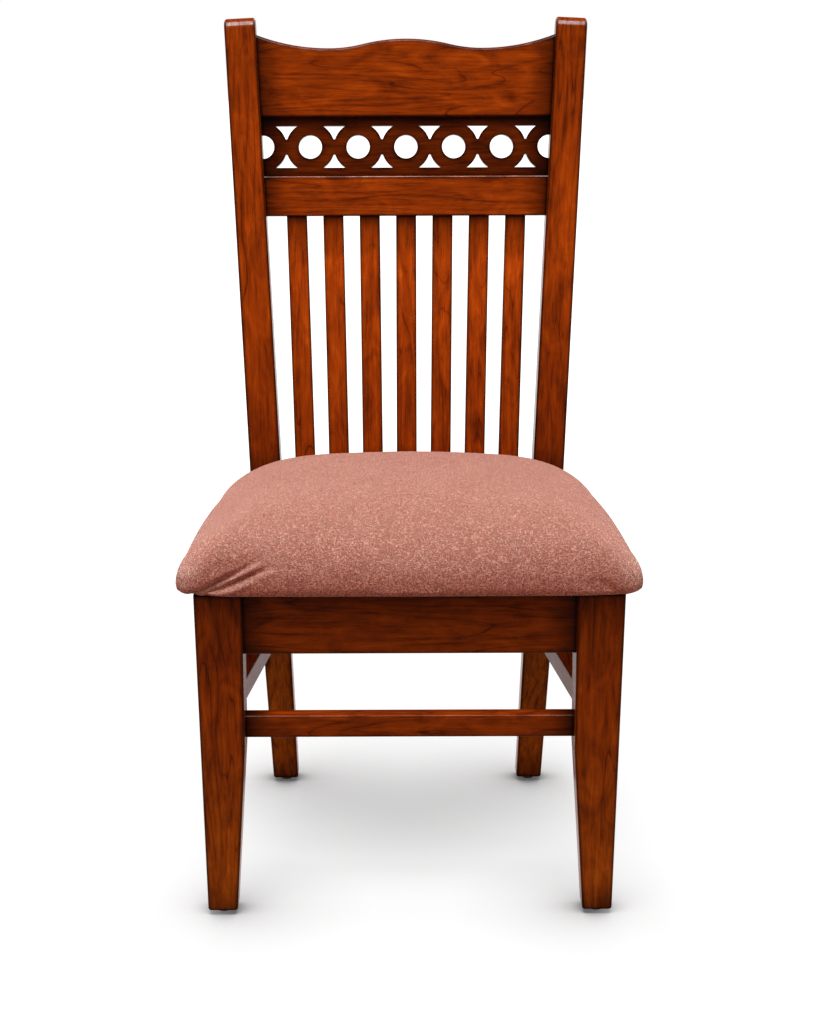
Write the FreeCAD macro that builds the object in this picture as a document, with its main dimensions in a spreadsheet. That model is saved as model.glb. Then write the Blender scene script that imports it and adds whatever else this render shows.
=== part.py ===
# Dining chair with a ring fret and flat slats in its back, and an upholstered seat.
# Front of the chair faces -Y, left is -X, and the origin is on the floor under the middle of its box.
import FreeCAD, Part
import math
import os
import re
import Sketcher

Vector = FreeCAD.Vector
doc = FreeCAD.newDocument("dining_chair")

# Driving dimensions in millimetres, angles in degrees. Depths are from the front legs' front faces.
SIZES = {
    "overall_height": 1003,
    "seat_frame_height": 388,
    "edge_ease": 4,
    "rail_ease": 2,
    "foot_ease": 2.5,
    "fit_gap": 0.15,
    "front_leg_spread": 487,
    "front_foot_spread": 470.6,
    "front_leg_width": 55,
    "front_leg_depth": 54,
    "front_foot_width": 34.5,
    "front_foot_depth": 38,
    "leg_taper_height": 203,
    "leg_taper_blend": 300,
    "post_foot_spread": 359,
    "post_splay": 2.9,
    "post_width": 39.6,
    "post_foot_width": 33,
    "post_taper_height": 403,
    "post_foot_front": 420,
    "post_seat_front": 387,
    "post_flat_below_seat": 85,
    "post_flat_above_seat": 30,
    "post_foot_depth": 34,
    "post_seat_depth": 42,
    "post_top_depth": 30,
    "post_bend_radius": 260,
    "post_top_round": 13,
    "back_lean": 9.65,
    "rail_height": 70,
    "rail_thickness": 22,
    "front_rail_recess": 6,
    "side_rail_recess": 6,
    "rear_rail_recess": 2,
    "rail_tenon_thickness": 10,
    "rail_tenon_shoulder": 9,
    "rail_tenon_length": 15,
    "stretcher_height": 26.5,
    "stretcher_thickness": 21,
    "stretcher_tenon_thickness": 9,
    "stretcher_tenon_shoulder": 4,
    "stretcher_tenon_length": 15,
    "front_stretcher_base": 214,
    "front_stretcher_setback": 16,
    "side_stretcher_base": 219,
    "rear_stretcher_base": 254,
    "back_rail_recess": 6,
    "back_rail_thickness": 20,
    "back_tenon_thickness": 9,
    "back_tenon_shoulder": 9,
    "back_tenon_length": 18,
    "crest_drop": 123.4,
    "crest_end_rise": 103.6,
    "crest_trough_rise": 86.6,
    "crest_middle_rise": 98.4,
    "crest_trough_offset": 97,
    "crest_middle_radius": 230,
    "fret_height": 74,
    "middle_rail_height": 50.5,
    "lower_rail_base": -10,
    "lower_rail_height": 35,
    "fret_recess": 13,
    "fret_thickness": 12,
    "fret_tongue": 6,
    "fret_border": 10.75,
    "ring_count": 5,
    "ring_hole_radius": 14.8,
    "ring_lap": 0.5,
    "fret_apex_radius": 1.4,
    "slat_count": 7,
    "slat_width": 25.7,
    "slat_thickness": 14,
    "slat_recess": 9,
    "slat_pitch_low": 43.5,
    "slat_pitch_high": 46.5,
    "slat_tenon_width": 16,
    "slat_tenon_thickness": 7,
    "slat_tenon_length": 12,
    "block_reach": 112,
    "block_height": 50,
    "block_drop": 2,
    "block_screw_offset": 62,
    "block_screw_seat": 18,
    "screw_bite": 13,
    "screw_head_radius": 4,
    "screw_head_height": 3,
    "screw_shank_radius": 2,
    "seat_screw_offset": 47,
    "seat_screw_bite": 8,
    "glide_radius": 9,
    "glide_height": 5.5,
    "glide_bevel": 1.5,
    "nail_radius": 1.2,
    "nail_length": 14,
    "cushion_height": 90,
    "cushion_widest_level": 15,
    "cushion_tuck": 9,
    "cushion_rear_tuck": 2,
    "crown_side_reach": 130,
    "crown_front_reach": 120,
    "crown_rear_reach": 72,
    "cushion_side_overhang": 22,
    "cushion_front_overhang": 12,
    "cushion_rear_half": 228,
    "cushion_rear_gap": 3,
    "cushion_corner": 30,
    "cover_thickness": 1.5,
    "cover_lip": 26,
    "soft_gap": 0.3,
    "board_thickness": 12,
    "board_inset": 13,
    "dust_thickness": 0.8,
}

# Distance under which two points count as touching.
TOUCH = 0.01

# Steps of the cushion's profile below and above its widest level, and how boxy its crown is.
TUCK_STEPS = 3
CROWN_STEPS = 6
CROWN_POWER = 2.5

# Sizes that follow from the driving ones.
DERIVED = {
    "post_flat_base": "seat_frame_height - post_flat_below_seat",
    "post_flat_top": "seat_frame_height + post_flat_above_seat",
    "post_run": "(overall_height - post_width * sin(post_splay)) / cos(post_splay)",
    "post_top_front": "post_seat_front + tan(back_lean) * (post_run - post_flat_top)",
    "post_top_reach": "post_top_front + post_top_depth"
                      " - post_top_round * (tan(45 + back_lean / 2) - 1)",
    "front_face": "(cushion_front_overhang - post_top_reach) / 2",
    "post_rake": "(post_foot_front - post_seat_front) / post_flat_base",
    "rail_base": "seat_frame_height - rail_height",
    "leg_inner": "front_leg_spread / 2 - front_leg_width",
    "side_front_x": "front_leg_spread / 2 - side_rail_recess - rail_thickness / 2",
    "side_rear_x": "post_foot_spread / 2 + tan(post_splay) * (seat_frame_height - rail_height / 2)"
                   " - side_rail_recess - rail_thickness / 2",
    "side_depth": "post_seat_front - front_leg_depth",
    "side_angle": "atan((side_front_x - side_rear_x) / side_depth)",
    "side_run": "side_depth / cos(side_angle)",
    "brace_level": "side_stretcher_base + stretcher_height / 2",
    "brace_front_x": "leg_inner / 2 + front_leg_spread / 4 - (front_leg_spread - front_foot_spread) / 4"
                     " * (seat_frame_height - brace_level) / seat_frame_height",
    "brace_rear_x": "post_foot_spread / 2 + tan(post_splay) * brace_level - post_foot_width / 2"
                    " - (post_width - post_foot_width) / 2 * brace_level / post_taper_height",
    "brace_depth": "side_depth + post_rake * (post_flat_base - brace_level)",
    "brace_angle": "atan((brace_front_x - brace_rear_x) / brace_depth)",
    "brace_run": "brace_depth / cos(brace_angle)",
    "rear_brace_y": "post_seat_front + post_rake * (post_flat_base - rear_stretcher_base)"
                    " + (post_foot_depth + post_seat_depth) / 4",
    "crest_base": "(overall_height - post_flat_top) / cos(back_lean) - crest_drop",
    "fret_base": "crest_base - fret_height",
    "middle_rail_base": "fret_base - middle_rail_height",
    "ring_level": "(fret_base + crest_base) / 2",
    "fret_opening": "fret_height - 2 * fret_border",
    "post_half_floor": "post_foot_spread / 2 - post_width / cos(post_splay)",
    "ring_clear_half": "post_half_floor + tan(post_splay) * (post_flat_top + ring_level * cos(back_lean))",
    "ring_pitch": "2 * ring_clear_half / (ring_count + 1)",
    "ring_radius": "ring_pitch / 2 + ring_lap",
    "apex_rise": "sqrt((ring_radius + fret_apex_radius) ^ 2 - (ring_pitch / 2) ^ 2)",
    "crest_half": "post_half_floor + tan(post_splay)"
                  " * (post_flat_top + (crest_base + crest_end_rise) * cos(back_lean))",
    "lower_rail_top": "lower_rail_base + lower_rail_height",
    "slat_fan": "(slat_pitch_high - slat_pitch_low) / (middle_rail_base - lower_rail_top)",
    "corner_x": "side_front_x - rail_thickness / 2",
    "corner_y": "front_rail_recess + rail_thickness",
    "rear_corner_x": "side_rear_x - rail_thickness / 2",
    "rear_corner_y": "post_seat_front + rear_rail_recess",
    "block_top": "seat_frame_height - block_drop",
    "block_base": "block_top - block_height",
    "block_screw_level": "block_base + block_height / 2",
    "seat_front": "-cushion_front_overhang",
    "seat_rear": "post_seat_front - cushion_rear_gap",
    "seat_front_half": "front_leg_spread / 2 + cushion_side_overhang",
    "board_base": "seat_frame_height + cover_thickness + fit_gap",
    "board_top": "board_base + board_thickness",
    "seat_screw_run": "board_base + seat_screw_bite - block_base",
}

sheet = doc.addObject("Spreadsheet::Sheet", "Sizes")
for row, (alias, number) in enumerate(SIZES.items(), start=1):
    sheet.set(f"A{row}", str(number))
    sheet.setAlias(f"A{row}", alias)
doc.recompute()
layout = doc.addObject("App::VarSet", "Layout")


def full(formula):
    """Write each size's name in a formula with the object that holds it."""
    def owner(match):
        word = match.group(0)
        if word in SIZES:
            return "Sizes." + word
        return "Layout." + word if word in DERIVED else word
    return re.sub(r"[a-z_]+", owner, str(formula))


def bind(item, prop, formula):
    item.setExpression(prop, full(formula))


def value(formula):
    return float(layout.evalExpression(full(formula)))


for name, formula in DERIVED.items():
    layout.addProperty("App::PropertyFloat", name)
    bind(layout, name, formula)
    doc.recompute()

# Frames in which pieces are drawn: base point, axis and angle of the turn.
STRAIGHT = Vector(0, 0, 1)
CHAIR = ("0", "front_face", "0", STRAIGHT, "0")
LEFT_POST = ("-post_foot_spread / 2", "front_face", "0", Vector(0, -1, 0), "post_splay")
BACK = ("0", "front_face + post_seat_front", "post_flat_top", Vector(-1, 0, 0), "back_lean")
LEFT_SIDE = ("-side_front_x", "front_face + front_leg_depth", "0", Vector(0, 0, -1), "side_angle")
LEFT_BRACE = ("-brace_front_x", "front_face + front_leg_depth", "0", Vector(0, 0, -1), "brace_angle")
PLANES = {"x": "YZ_Plane", "y": "XZ_Plane", "z": "XY_Plane"}


def place(item, frame):
    """Put an object in one of the frames."""
    base, axis, angle = frame[:3], frame[3], frame[4]
    item.Placement = FreeCAD.Placement(Vector(*map(value, base)), FreeCAD.Rotation(axis, value(angle)))
    for letter, formula in zip("xyz", base):
        bind(item, f".Placement.Base.{letter}", formula)
    if angle != "0":
        bind(item, ".Placement.Rotation.Angle", angle)
    return item


def new_sketch(body, name, along, offset="0"):
    """An empty sketch square to one axis of its body, at an offset along that axis."""
    sketch = body.newObject("Sketcher::SketchObject", name)
    planes = {part.Role: part for part in body.Origin.OriginFeatures}
    sketch.AttachmentSupport = [(planes[PLANES[along]], "")]
    sketch.MapMode = "FlatFace"
    bind(sketch, ".AttachmentOffset.Base.z", f"-({offset})" if along == "y" else offset)
    return sketch


def pin(sketch, geometry, point, corner):
    """Hold a point of the sketch at a pair of formulas."""
    for kind, formula in zip(("DistanceX", "DistanceY"), corner):
        index = sketch.addConstraint(Sketcher.Constraint(kind, -1, 1, geometry, point, value(formula)))
        bind(sketch, f"Constraints[{index}]", formula)


def set_radius(sketch, arc, formula):
    index = sketch.addConstraint(Sketcher.Constraint("Radius", arc, value(formula)))
    bind(sketch, f"Constraints[{index}]", formula)


def add_arc(sketch, centre, begin, end):
    """The shorter arc from begin to end. Returns its number and which of its ends begin is."""
    start = math.atan2(begin.y - centre.y, begin.x - centre.x)
    stop = math.atan2(end.y - centre.y, end.x - centre.x)
    forward = (stop - start) % (2 * math.pi) < math.pi
    if not forward:
        start, stop = stop, start
    circle = Part.Circle(centre, Vector(0, 0, 1), (begin - centre).Length)
    return sketch.addGeometry(Part.ArcOfCircle(circle, start, stop)), 1 if forward else 2


def add_loop(sketch, corners):
    """A closed outline of straight lines. A corner with a third formula is rounded to that radius."""
    count = len(corners)
    points = [Vector(value(corner[0]), value(corner[1]), 0) for corner in corners]
    leave, arrive, centres = list(points), list(points), {}
    for i, corner in enumerate(corners):
        if len(corner) == 3:
            back = (points[i - 1] - points[i]).normalize()
            ahead = (points[(i + 1) % count] - points[i]).normalize()
            half = back.getAngle(ahead) / 2
            reach = value(corner[2]) / math.tan(half)
            arrive[i] = points[i] + back * reach
            leave[i] = points[i] + ahead * reach
            centres[i] = points[i] + (back + ahead).normalize() * (value(corner[2]) / math.sin(half))
    lines = [sketch.addGeometry(Part.LineSegment(leave[i], arrive[(i + 1) % count])) for i in range(count)]
    for i, corner in enumerate(corners):
        before, after = lines[i - 1], lines[i]
        if i in centres:
            arc, first = add_arc(sketch, centres[i], arrive[i], leave[i])
            peak = sketch.addGeometry(Part.Point(points[i]), True)
            pin(sketch, peak, 1, corner)
            sketch.addConstraint(Sketcher.Constraint("PointOnObject", peak, 1, before))
            sketch.addConstraint(Sketcher.Constraint("PointOnObject", peak, 1, after))
            sketch.addConstraint(Sketcher.Constraint("Tangent", before, 2, arc, first))
            sketch.addConstraint(Sketcher.Constraint("Tangent", after, 1, arc, 3 - first))
            set_radius(sketch, arc, corner[2])
        else:
            sketch.addConstraint(Sketcher.Constraint("Coincident", before, 2, after, 1))
            pin(sketch, after, 1, corner)


def new_body(name, frame):
    return place(doc.addObject("PartDesign::Body", name), frame)


def pad(body, sketch, along, length):
    feature = body.newObject("PartDesign::Pad", sketch.Name + "_pad")
    feature.Profile = sketch
    feature.Reversed = along == "y"
    bind(feature, "Length", length)
    doc.recompute()
    return feature


def pocket(body, sketch):
    """Cut a sketch right through its body, both ways."""
    feature = body.newObject("PartDesign::Pocket", sketch.Name + "_cut")
    feature.Profile = sketch
    feature.Type = "ThroughAll"
    feature.Midplane = True
    doc.recompute()
    return feature


def prism(name, frame, along, corners, start, end):
    """A straight bar: an outline square to one local axis, from start to end along it."""
    body = new_body(name, frame)
    sketch = new_sketch(body, name + "_outline", along, start)
    add_loop(sketch, corners)
    pad(body, sketch, along, f"({end}) - ({start})")
    return body


def rectangle(low_a, high_a, low_b, high_b, radius=None):
    tail = (radius,) if radius else ()
    return [(low_a, low_b) + tail, (high_a, low_b) + tail, (high_a, high_b) + tail, (low_a, high_b) + tail]


def ease(body, feature, radius, wanted):
    """Round the edges of a feature that a test picks out."""
    names = [f"Edge{i}" for i, edge in enumerate(feature.Shape.Edges, start=1) if wanted(edge)]
    fillet = body.newObject("PartDesign::Fillet", feature.Name + "_ease")
    fillet.Base = (feature, names)
    bind(fillet, "Radius", radius)
    doc.recompute()
    return fillet


def keep_profile(body, name, corners, far, top):
    """Saw a body to a side profile: cut away all that lies outside the outline."""
    sketch = new_sketch(body, name, "x")
    add_loop(sketch, rectangle(f"-({far})", far, f"-({top})", f"2 * ({top})"))
    add_loop(sketch, corners)
    return pocket(body, sketch)


def group(name, items):
    compound = doc.addObject("Part::Compound", name)
    compound.Links = items
    return compound


def cut(name, base, tools):
    feature = doc.addObject("Part::Cut", name)
    feature.Base = base
    feature.Tool = group(name + "_tools", tools) if len(tools) > 1 else tools[0]
    doc.recompute()
    return feature


def fuse(name, items):
    feature = doc.addObject("Part::MultiFuse", name)
    feature.Shapes = items
    feature.Refine = True
    doc.recompute()
    return feature


def mirror(item, name):
    """The same piece on the right-hand side."""
    feature = doc.addObject("Part::Mirroring", name)
    feature.Source = item
    feature.Normal = Vector(1, 0, 0)
    doc.recompute()
    return feature


def mirrored(items):
    return [mirror(item, item.Name + "_right") for item in items]


pieces = {}


def piece(label, item):
    item.Label = label
    pieces[label] = item
    return item


def spans_height(edge):
    return edge.BoundBox.ZLength > value("edge_ease")


def at_foot(edge):
    return edge.BoundBox.ZMax < value("glide_height / cos(post_splay)") + TOUCH


# Front legs: square, tapered on the inner and rear faces below the stretchers.
leg = new_body("front_leg_blank", CHAIR)
leg_front = new_sketch(leg, "front_leg_front", "y")
add_loop(leg_front, [
    ("-front_foot_spread / 2", "glide_height"),
    ("-front_foot_spread / 2 + front_foot_width", "glide_height"),
    ("-leg_inner", "leg_taper_height", "leg_taper_blend"),
    ("-leg_inner", "seat_frame_height"),
    ("-front_leg_spread / 2", "seat_frame_height"),
])
pad(leg, leg_front, "y", "front_leg_depth")
leg_shape = keep_profile(leg, "front_leg_side", [
    ("0", "0"),
    ("front_foot_depth", "0"),
    ("front_leg_depth", "leg_taper_height", "leg_taper_blend"),
    ("front_leg_depth", "seat_frame_height + edge_ease"),
    ("0", "seat_frame_height + edge_ease"),
], "overall_height", "overall_height")
leg_eased = ease(leg, leg_shape, "edge_ease", spans_height)
ease(leg, leg_eased, "foot_ease", at_foot)

# Back posts: sawn to a bent side profile, splayed, tapered on the inner face towards the foot.
post = new_body("back_post_blank", LEFT_POST)
post_front = new_sketch(post, "back_post_front", "y")
add_loop(post_front, [
    ("0", "glide_height / cos(post_splay)"),
    ("post_foot_width", "(glide_height - post_foot_width * sin(post_splay)) / cos(post_splay)"),
    ("post_width", "post_taper_height"),
    ("post_width", "post_run + edge_ease"),
    ("0", "post_run + edge_ease"),
])
pad(post, post_front, "y", "overall_height")
post_shape = keep_profile(post, "back_post_side", [
    ("post_foot_front", "0"),
    ("post_foot_front + post_foot_depth", "0"),
    ("post_seat_front + post_seat_depth", "post_flat_base", "post_bend_radius"),
    ("post_seat_front + post_seat_depth", "post_flat_top", "post_bend_radius"),
    ("post_top_front + post_top_depth", "post_run", "post_top_round"),
    ("post_top_front", "post_run", "post_top_round"),
    ("post_seat_front", "post_flat_top", "post_bend_radius"),
    ("post_seat_front", "post_flat_base", "post_bend_radius"),
], "overall_height", "overall_height")


def on_post_side(edge):
    """Edges round the outer and inner faces of a post, apart from those at its foot and its taper."""
    xs = [vertex.X for vertex in edge.Vertexes]
    level = edge.BoundBox.ZLength < value("edge_ease") and edge.BoundBox.ZMax < value("post_run") - TOUCH
    outer = max(xs) < TOUCH
    inner = min(xs) > value("post_foot_width") - TOUCH
    return (outer or inner) and not level


post_eased = ease(post, post_shape, "edge_ease", on_post_side)
ease(post, post_eased, "foot_ease", at_foot)

legs = [leg] + mirrored([leg])
posts = [post] + mirrored([post])
leg_mortises = []
post_mortises = []


def jointed(name, frame, along, section, tenon, run, reach, hosts):
    """A bar cut to its shoulders by what it joins, with a tenon at each end. Returns it and its mortise."""
    start, end = run
    low_a, high_a, low_b, high_b = tenon
    bar = prism(name + "_bar", frame, along, section,
                f"({start}) - ({reach}) / 2", f"({end}) + ({reach}) / 2")
    tongue = prism(name + "_tenon", frame, along, rectangle(*tenon),
                   f"({start}) - ({reach})", f"({end}) + ({reach})")
    gap_section = rectangle(f"{low_a} - fit_gap", f"{high_a} + fit_gap",
                            f"{low_b} - fit_gap", f"{high_b} + fit_gap")
    mortise = prism(name + "_mortise", frame, along, gap_section,
                    f"({start}) - ({reach}) - fit_gap", f"({end}) + ({reach}) + fit_gap")
    shouldered = cut(name + "_shouldered", bar, hosts)
    return fuse(name + "_joined", [shouldered, tongue]), mortise


def tenon_across(low, high, thickness, base, top, shoulder):
    """Limits of a tenon centred in a bar's thickness, set in from its top and bottom."""
    middle = f"({low} + {high}) / 2"
    return (f"{middle} - {thickness} / 2", f"{middle} + {thickness} / 2",
            f"{base} + {shoulder}", f"{top} - {shoulder}")


def level_rail(name, front, thickness, base, height, half, hosts, kind):
    """A bar that runs straight across the chair between two legs or two posts."""
    back = f"({front}) + {thickness}"
    top = f"({base}) + {height}"
    section = rectangle(front, back, base, top, "rail_ease")
    tenon = tenon_across(f"({front})", f"({back})", f"{kind}_tenon_thickness",
                         f"({base})", f"({top})", f"{kind}_tenon_shoulder")
    return jointed(name, CHAIR, "x", section, tenon, (f"-({half})", half), f"{kind}_tenon_length", hosts)


def side_bar(name, frame, run, base, height, thickness, hosts, kind):
    """A bar that runs back from a front leg to the post behind it."""
    top = f"({base}) + {height}"
    section = rectangle(f"-{thickness} / 2", f"{thickness} / 2", base, top, "rail_ease")
    tenon = tenon_across(f"-{thickness} / 2", f"{thickness} / 2", f"{kind}_tenon_thickness",
                         f"({base})", f"({top})", f"{kind}_tenon_shoulder")
    return jointed(name, frame, "y", section, tenon, ("0", run), f"{kind}_tenon_length", hosts)


def post_inner(level):
    """Half of the clear width between the posts at a height above the floor, above their taper."""
    return f"post_half_floor + tan(post_splay) * ({level})"


# Seat rails and stretchers, with tenons into the legs and posts.
front_rail, front_rail_mortise = level_rail(
    "front_seat_rail", "front_rail_recess", "rail_thickness", "rail_base", "rail_height",
    "leg_inner", legs, "rail")
rear_rail, rear_rail_mortise = level_rail(
    "rear_seat_rail", "post_seat_front + rear_rail_recess", "rail_thickness", "rail_base", "rail_height",
    post_inner("rail_base"), posts, "rail")
side_rail, side_rail_mortise = side_bar(
    "side_seat_rail", LEFT_SIDE, "side_run", "rail_base", "rail_height", "rail_thickness",
    [leg, post], "rail")
front_brace, front_brace_mortise = level_rail(
    "front_stretcher", "front_stretcher_setback", "stretcher_thickness", "front_stretcher_base",
    "stretcher_height", "leg_inner", legs, "stretcher")
rear_brace, rear_brace_mortise = level_rail(
    "rear_stretcher", "rear_brace_y - stretcher_thickness / 2", "stretcher_thickness", "rear_stretcher_base",
    "stretcher_height", post_inner("rear_stretcher_base"), posts, "stretcher")
side_brace, side_brace_mortise = side_bar(
    "side_stretcher", LEFT_BRACE, "brace_run", "side_stretcher_base", "stretcher_height",
    "stretcher_thickness", [leg, post], "stretcher")
leg_mortises += [front_rail_mortise, side_rail_mortise, front_brace_mortise, side_brace_mortise]
post_mortises += [rear_rail_mortise, side_rail_mortise, rear_brace_mortise, side_brace_mortise]


# Back rails, in the leaning plane of the back.
def back_bar(name, base, top, section):
    """A rail between the posts with a tenon at each end."""
    high = f"post_flat_top + ({top}) * cos(back_lean)"
    tenon = tenon_across("back_rail_recess", "(back_rail_recess + back_rail_thickness)",
                         "back_tenon_thickness", f"({base})", f"({top})", "back_tenon_shoulder")
    return jointed(name, BACK, "x", section, tenon, (f"-({post_inner(high)})", post_inner(high)),
                   "back_tenon_length", posts)


def back_section(base, top):
    return rectangle("back_rail_recess", "back_rail_recess + back_rail_thickness", base, top, "rail_ease")


lower_rail, lower_rail_mortise = back_bar(
    "lower_back_rail", "lower_rail_base", "lower_rail_top",
    back_section("lower_rail_base", "lower_rail_top"))
middle_rail, middle_rail_mortise = back_bar(
    "middle_back_rail", "middle_rail_base", "fret_base",
    back_section("middle_rail_base", "fret_base"))

# Crest rail: its top edge is a wave of five tangent arcs.
CREST_END = "crest_base + crest_end_rise"
CREST_TROUGH = "crest_base + crest_trough_rise"
CREST_MIDDLE = "crest_base + crest_middle_rise"
CREST_OUT = "crest_half + back_tenon_length / 2"


def add_crest_outline(sketch):
    trough, middle, end = value(CREST_TROUGH), value(CREST_MIDDLE), value(CREST_END)
    offset, half, radius = value("crest_trough_offset"), value("crest_half"), value("crest_middle_radius")
    drop = middle - trough
    inner_radius = (offset ** 2 + drop ** 2) / (2 * drop) - radius
    outer_radius = ((half - offset) ** 2 + (end - trough) ** 2) / (2 * (end - trough))
    turn = math.asin(offset / (radius + inner_radius))
    meet = Vector(radius * math.sin(turn), middle - radius * (1 - math.cos(turn)), 0)
    meet_left = Vector(-meet.x, meet.y, 0)
    hump, _ = add_arc(sketch, Vector(0, middle - radius, 0), meet, meet_left)
    sketch.addConstraint(Sketcher.Constraint("PointOnObject", hump, 3, -2))
    index = sketch.addConstraint(Sketcher.Constraint("DistanceY", -1, 1, hump, 3, middle - radius))
    bind(sketch, f"Constraints[{index}]", f"{CREST_MIDDLE} - crest_middle_radius")
    set_radius(sketch, hump, "crest_middle_radius")
    ends = []
    for sign, start, hump_end in ((1, meet, 1), (-1, meet_left, 2)):
        low = Vector(sign * offset, trough, 0)
        tip = Vector(sign * half, end, 0)
        across = f"{sign} * crest_trough_offset"
        inner, inner_start = add_arc(sketch, Vector(low.x, trough + inner_radius, 0), start, low)
        outer, outer_start = add_arc(sketch, Vector(low.x, trough + outer_radius, 0), low, tip)
        sketch.addConstraint(Sketcher.Constraint("Tangent", hump, hump_end, inner, inner_start))
        sketch.addConstraint(Sketcher.Constraint("Coincident", inner, 3 - inner_start, outer, outer_start))
        pin(sketch, inner, 3 - inner_start, (across, CREST_TROUGH))
        for arc in (inner, outer):
            index = sketch.addConstraint(Sketcher.Constraint("DistanceX", -1, 1, arc, 3, low.x))
            bind(sketch, f"Constraints[{index}]", across)
        pin(sketch, outer, 3 - outer_start, (f"{sign} * crest_half", CREST_END))
        ends.append((outer, 3 - outer_start))
    corners = [("crest_half", CREST_END), (CREST_OUT, CREST_END), (CREST_OUT, "crest_base"),
               (f"-({CREST_OUT})", "crest_base"), (f"-({CREST_OUT})", CREST_END), ("-crest_half", CREST_END)]
    points = [Vector(value(a), value(b), 0) for a, b in corners]
    lines = [sketch.addGeometry(Part.LineSegment(a, b)) for a, b in zip(points, points[1:])]
    sketch.addConstraint(Sketcher.Constraint("Coincident", ends[0][0], ends[0][1], lines[0], 1))
    sketch.addConstraint(Sketcher.Constraint("Coincident", ends[1][0], ends[1][1], lines[-1], 2))
    for before, after, corner in zip(lines, lines[1:], corners[1:]):
        sketch.addConstraint(Sketcher.Constraint("Coincident", before, 2, after, 1))
        pin(sketch, after, 1, corner)


crest_body = new_body("crest_rail_board", BACK)
crest_sketch = new_sketch(crest_body, "crest_rail_front", "y", "back_rail_recess")
add_crest_outline(crest_sketch)
crest_pad = pad(crest_body, crest_sketch, "y", "back_rail_thickness")


def on_crest_edge(edge):
    """Long edges of the crest rail's front and back faces."""
    return edge.BoundBox.YLength < TOUCH and edge.BoundBox.XLength > value("back_tenon_length")


ease(crest_body, crest_pad, "edge_ease", on_crest_edge)
crest_core, crest_mortise = back_bar(
    "crest_rail_core", "crest_base", CREST_TROUGH,
    back_section("crest_base + edge_ease", f"{CREST_TROUGH} - edge_ease"))
crest_rail = fuse("crest_rail_joined", [cut("crest_rail_shouldered", crest_body, posts), crest_core])
post_mortises += [lower_rail_mortise, middle_rail_mortise, crest_mortise]

# Ring fret: a thin board pierced by rings, with a tongue in the rail above and in the rail below.
fret_low = "fret_base - fret_tongue"
fret_high = "crest_base + fret_tongue"
fret_out = "ring_clear_half + fret_border"
fret_body = prism("ring_fret_board", BACK, "y",
                  rectangle(f"-({fret_out})", fret_out, fret_low, fret_high),
                  "fret_recess", "fret_recess + fret_thickness")


def repeat(body, feature, sketch, run, count):
    """Repeat a cut along the board."""
    row = body.newObject("PartDesign::LinearPattern", feature.Name + "_row")
    row.Originals = [feature]
    row.Direction = (sketch, ["H_Axis"])
    bind(row, "Length", run)
    bind(row, "Occurrences", count)
    body.Tip = row
    doc.recompute()
    return row


ring_sketch = new_sketch(fret_body, "ring_hole", "y")
ring_circle = ring_sketch.addGeometry(Part.Circle(
    Vector(-value("ring_clear_half"), value("ring_level"), 0), Vector(0, 0, 1), value("ring_hole_radius")))
pin(ring_sketch, ring_circle, 3, ("-ring_clear_half", "ring_level"))
set_radius(ring_sketch, ring_circle, "ring_hole_radius")
repeat(fret_body, pocket(fret_body, ring_sketch), ring_sketch,
       "(ring_count + 1) * ring_pitch", "ring_count + 2")


def add_fret_gap(sketch, sign):
    """The three-cornered gap between two rings and a border, above or below the rings' middle line."""
    middle, level = -value("ring_count * ring_pitch / 2"), value("ring_level")
    half, radius, rise = value("ring_pitch / 2"), value("ring_radius"), value("apex_rise")
    flat = value("fret_opening / 2")
    middle_formula = "-ring_count * ring_pitch / 2"
    spread = half - math.sqrt(radius ** 2 - flat ** 2)
    share = radius / (radius + value("fret_apex_radius"))
    edge_left, edge_right = (Vector(middle + side * spread, level + sign * flat, 0) for side in (-1, 1))
    touch_left, touch_right = (Vector(middle + side * half * (1 - share), level + sign * rise * share, 0)
                               for side in (-1, 1))
    border = sketch.addGeometry(Part.LineSegment(edge_left, edge_right))
    apex, apex_start = add_arc(sketch, Vector(middle, level + sign * rise, 0), touch_left, touch_right)
    pin(sketch, apex, 3, (middle_formula, f"ring_level + {sign} * apex_rise"))
    set_radius(sketch, apex, "fret_apex_radius")
    sides = ((-1, edge_left, touch_left, 1, apex_start), (1, edge_right, touch_right, 2, 3 - apex_start))
    for side, edge, touch, border_end, apex_end in sides:
        arc, arc_start = add_arc(sketch, Vector(middle + side * half, level, 0), edge, touch)
        pin(sketch, arc, 3, (f"{middle_formula} + {side} * ring_pitch / 2", "ring_level"))
        sketch.addConstraint(Sketcher.Constraint("Coincident", border, border_end, arc, arc_start))
        sketch.addConstraint(Sketcher.Constraint("Tangent", apex, apex_end, arc, 3 - arc_start))
    index = sketch.addConstraint(Sketcher.Constraint("DistanceY", -1, 1, border, 1, level + sign * flat))
    bind(sketch, f"Constraints[{index}]", f"ring_level + {sign} * fret_opening / 2")
    sketch.addConstraint(Sketcher.Constraint("Horizontal", border))


gap_sketch = new_sketch(fret_body, "fret_gaps", "y")
for sign in (1, -1):
    add_fret_gap(gap_sketch, sign)
repeat(fret_body, pocket(fret_body, gap_sketch), gap_sketch, "ring_count * ring_pitch", "ring_count + 1")
piece("ring_fret_panel", cut("ring_fret_fitted", fret_body, posts))
fret_groove = prism("ring_fret_groove", BACK, "y",
                    rectangle(f"-({fret_out})", fret_out, f"{fret_low} - fit_gap", f"{fret_high} + fit_gap"),
                    "fret_recess - fit_gap", "fret_recess + fret_thickness + fit_gap")


# Slats: fanned out a little towards the top, tenoned into the middle and lower rails.
def slat_outline(number, width, overrun):
    """A slat's outline in the plane of the back, run past its shoulders at both ends."""
    corners = []
    for level, side in (("low", -1), ("low", 1), ("high", 1), ("high", -1)):
        past = f"-({overrun})" if level == "low" else f"middle_rail_base - lower_rail_top + {overrun}"
        across = f"({number}) * (slat_pitch_low + slat_fan * ({past})) + {side} * ({width}) / 2"
        corners.append((across, f"lower_rail_top + {past}"))
    return corners


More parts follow.
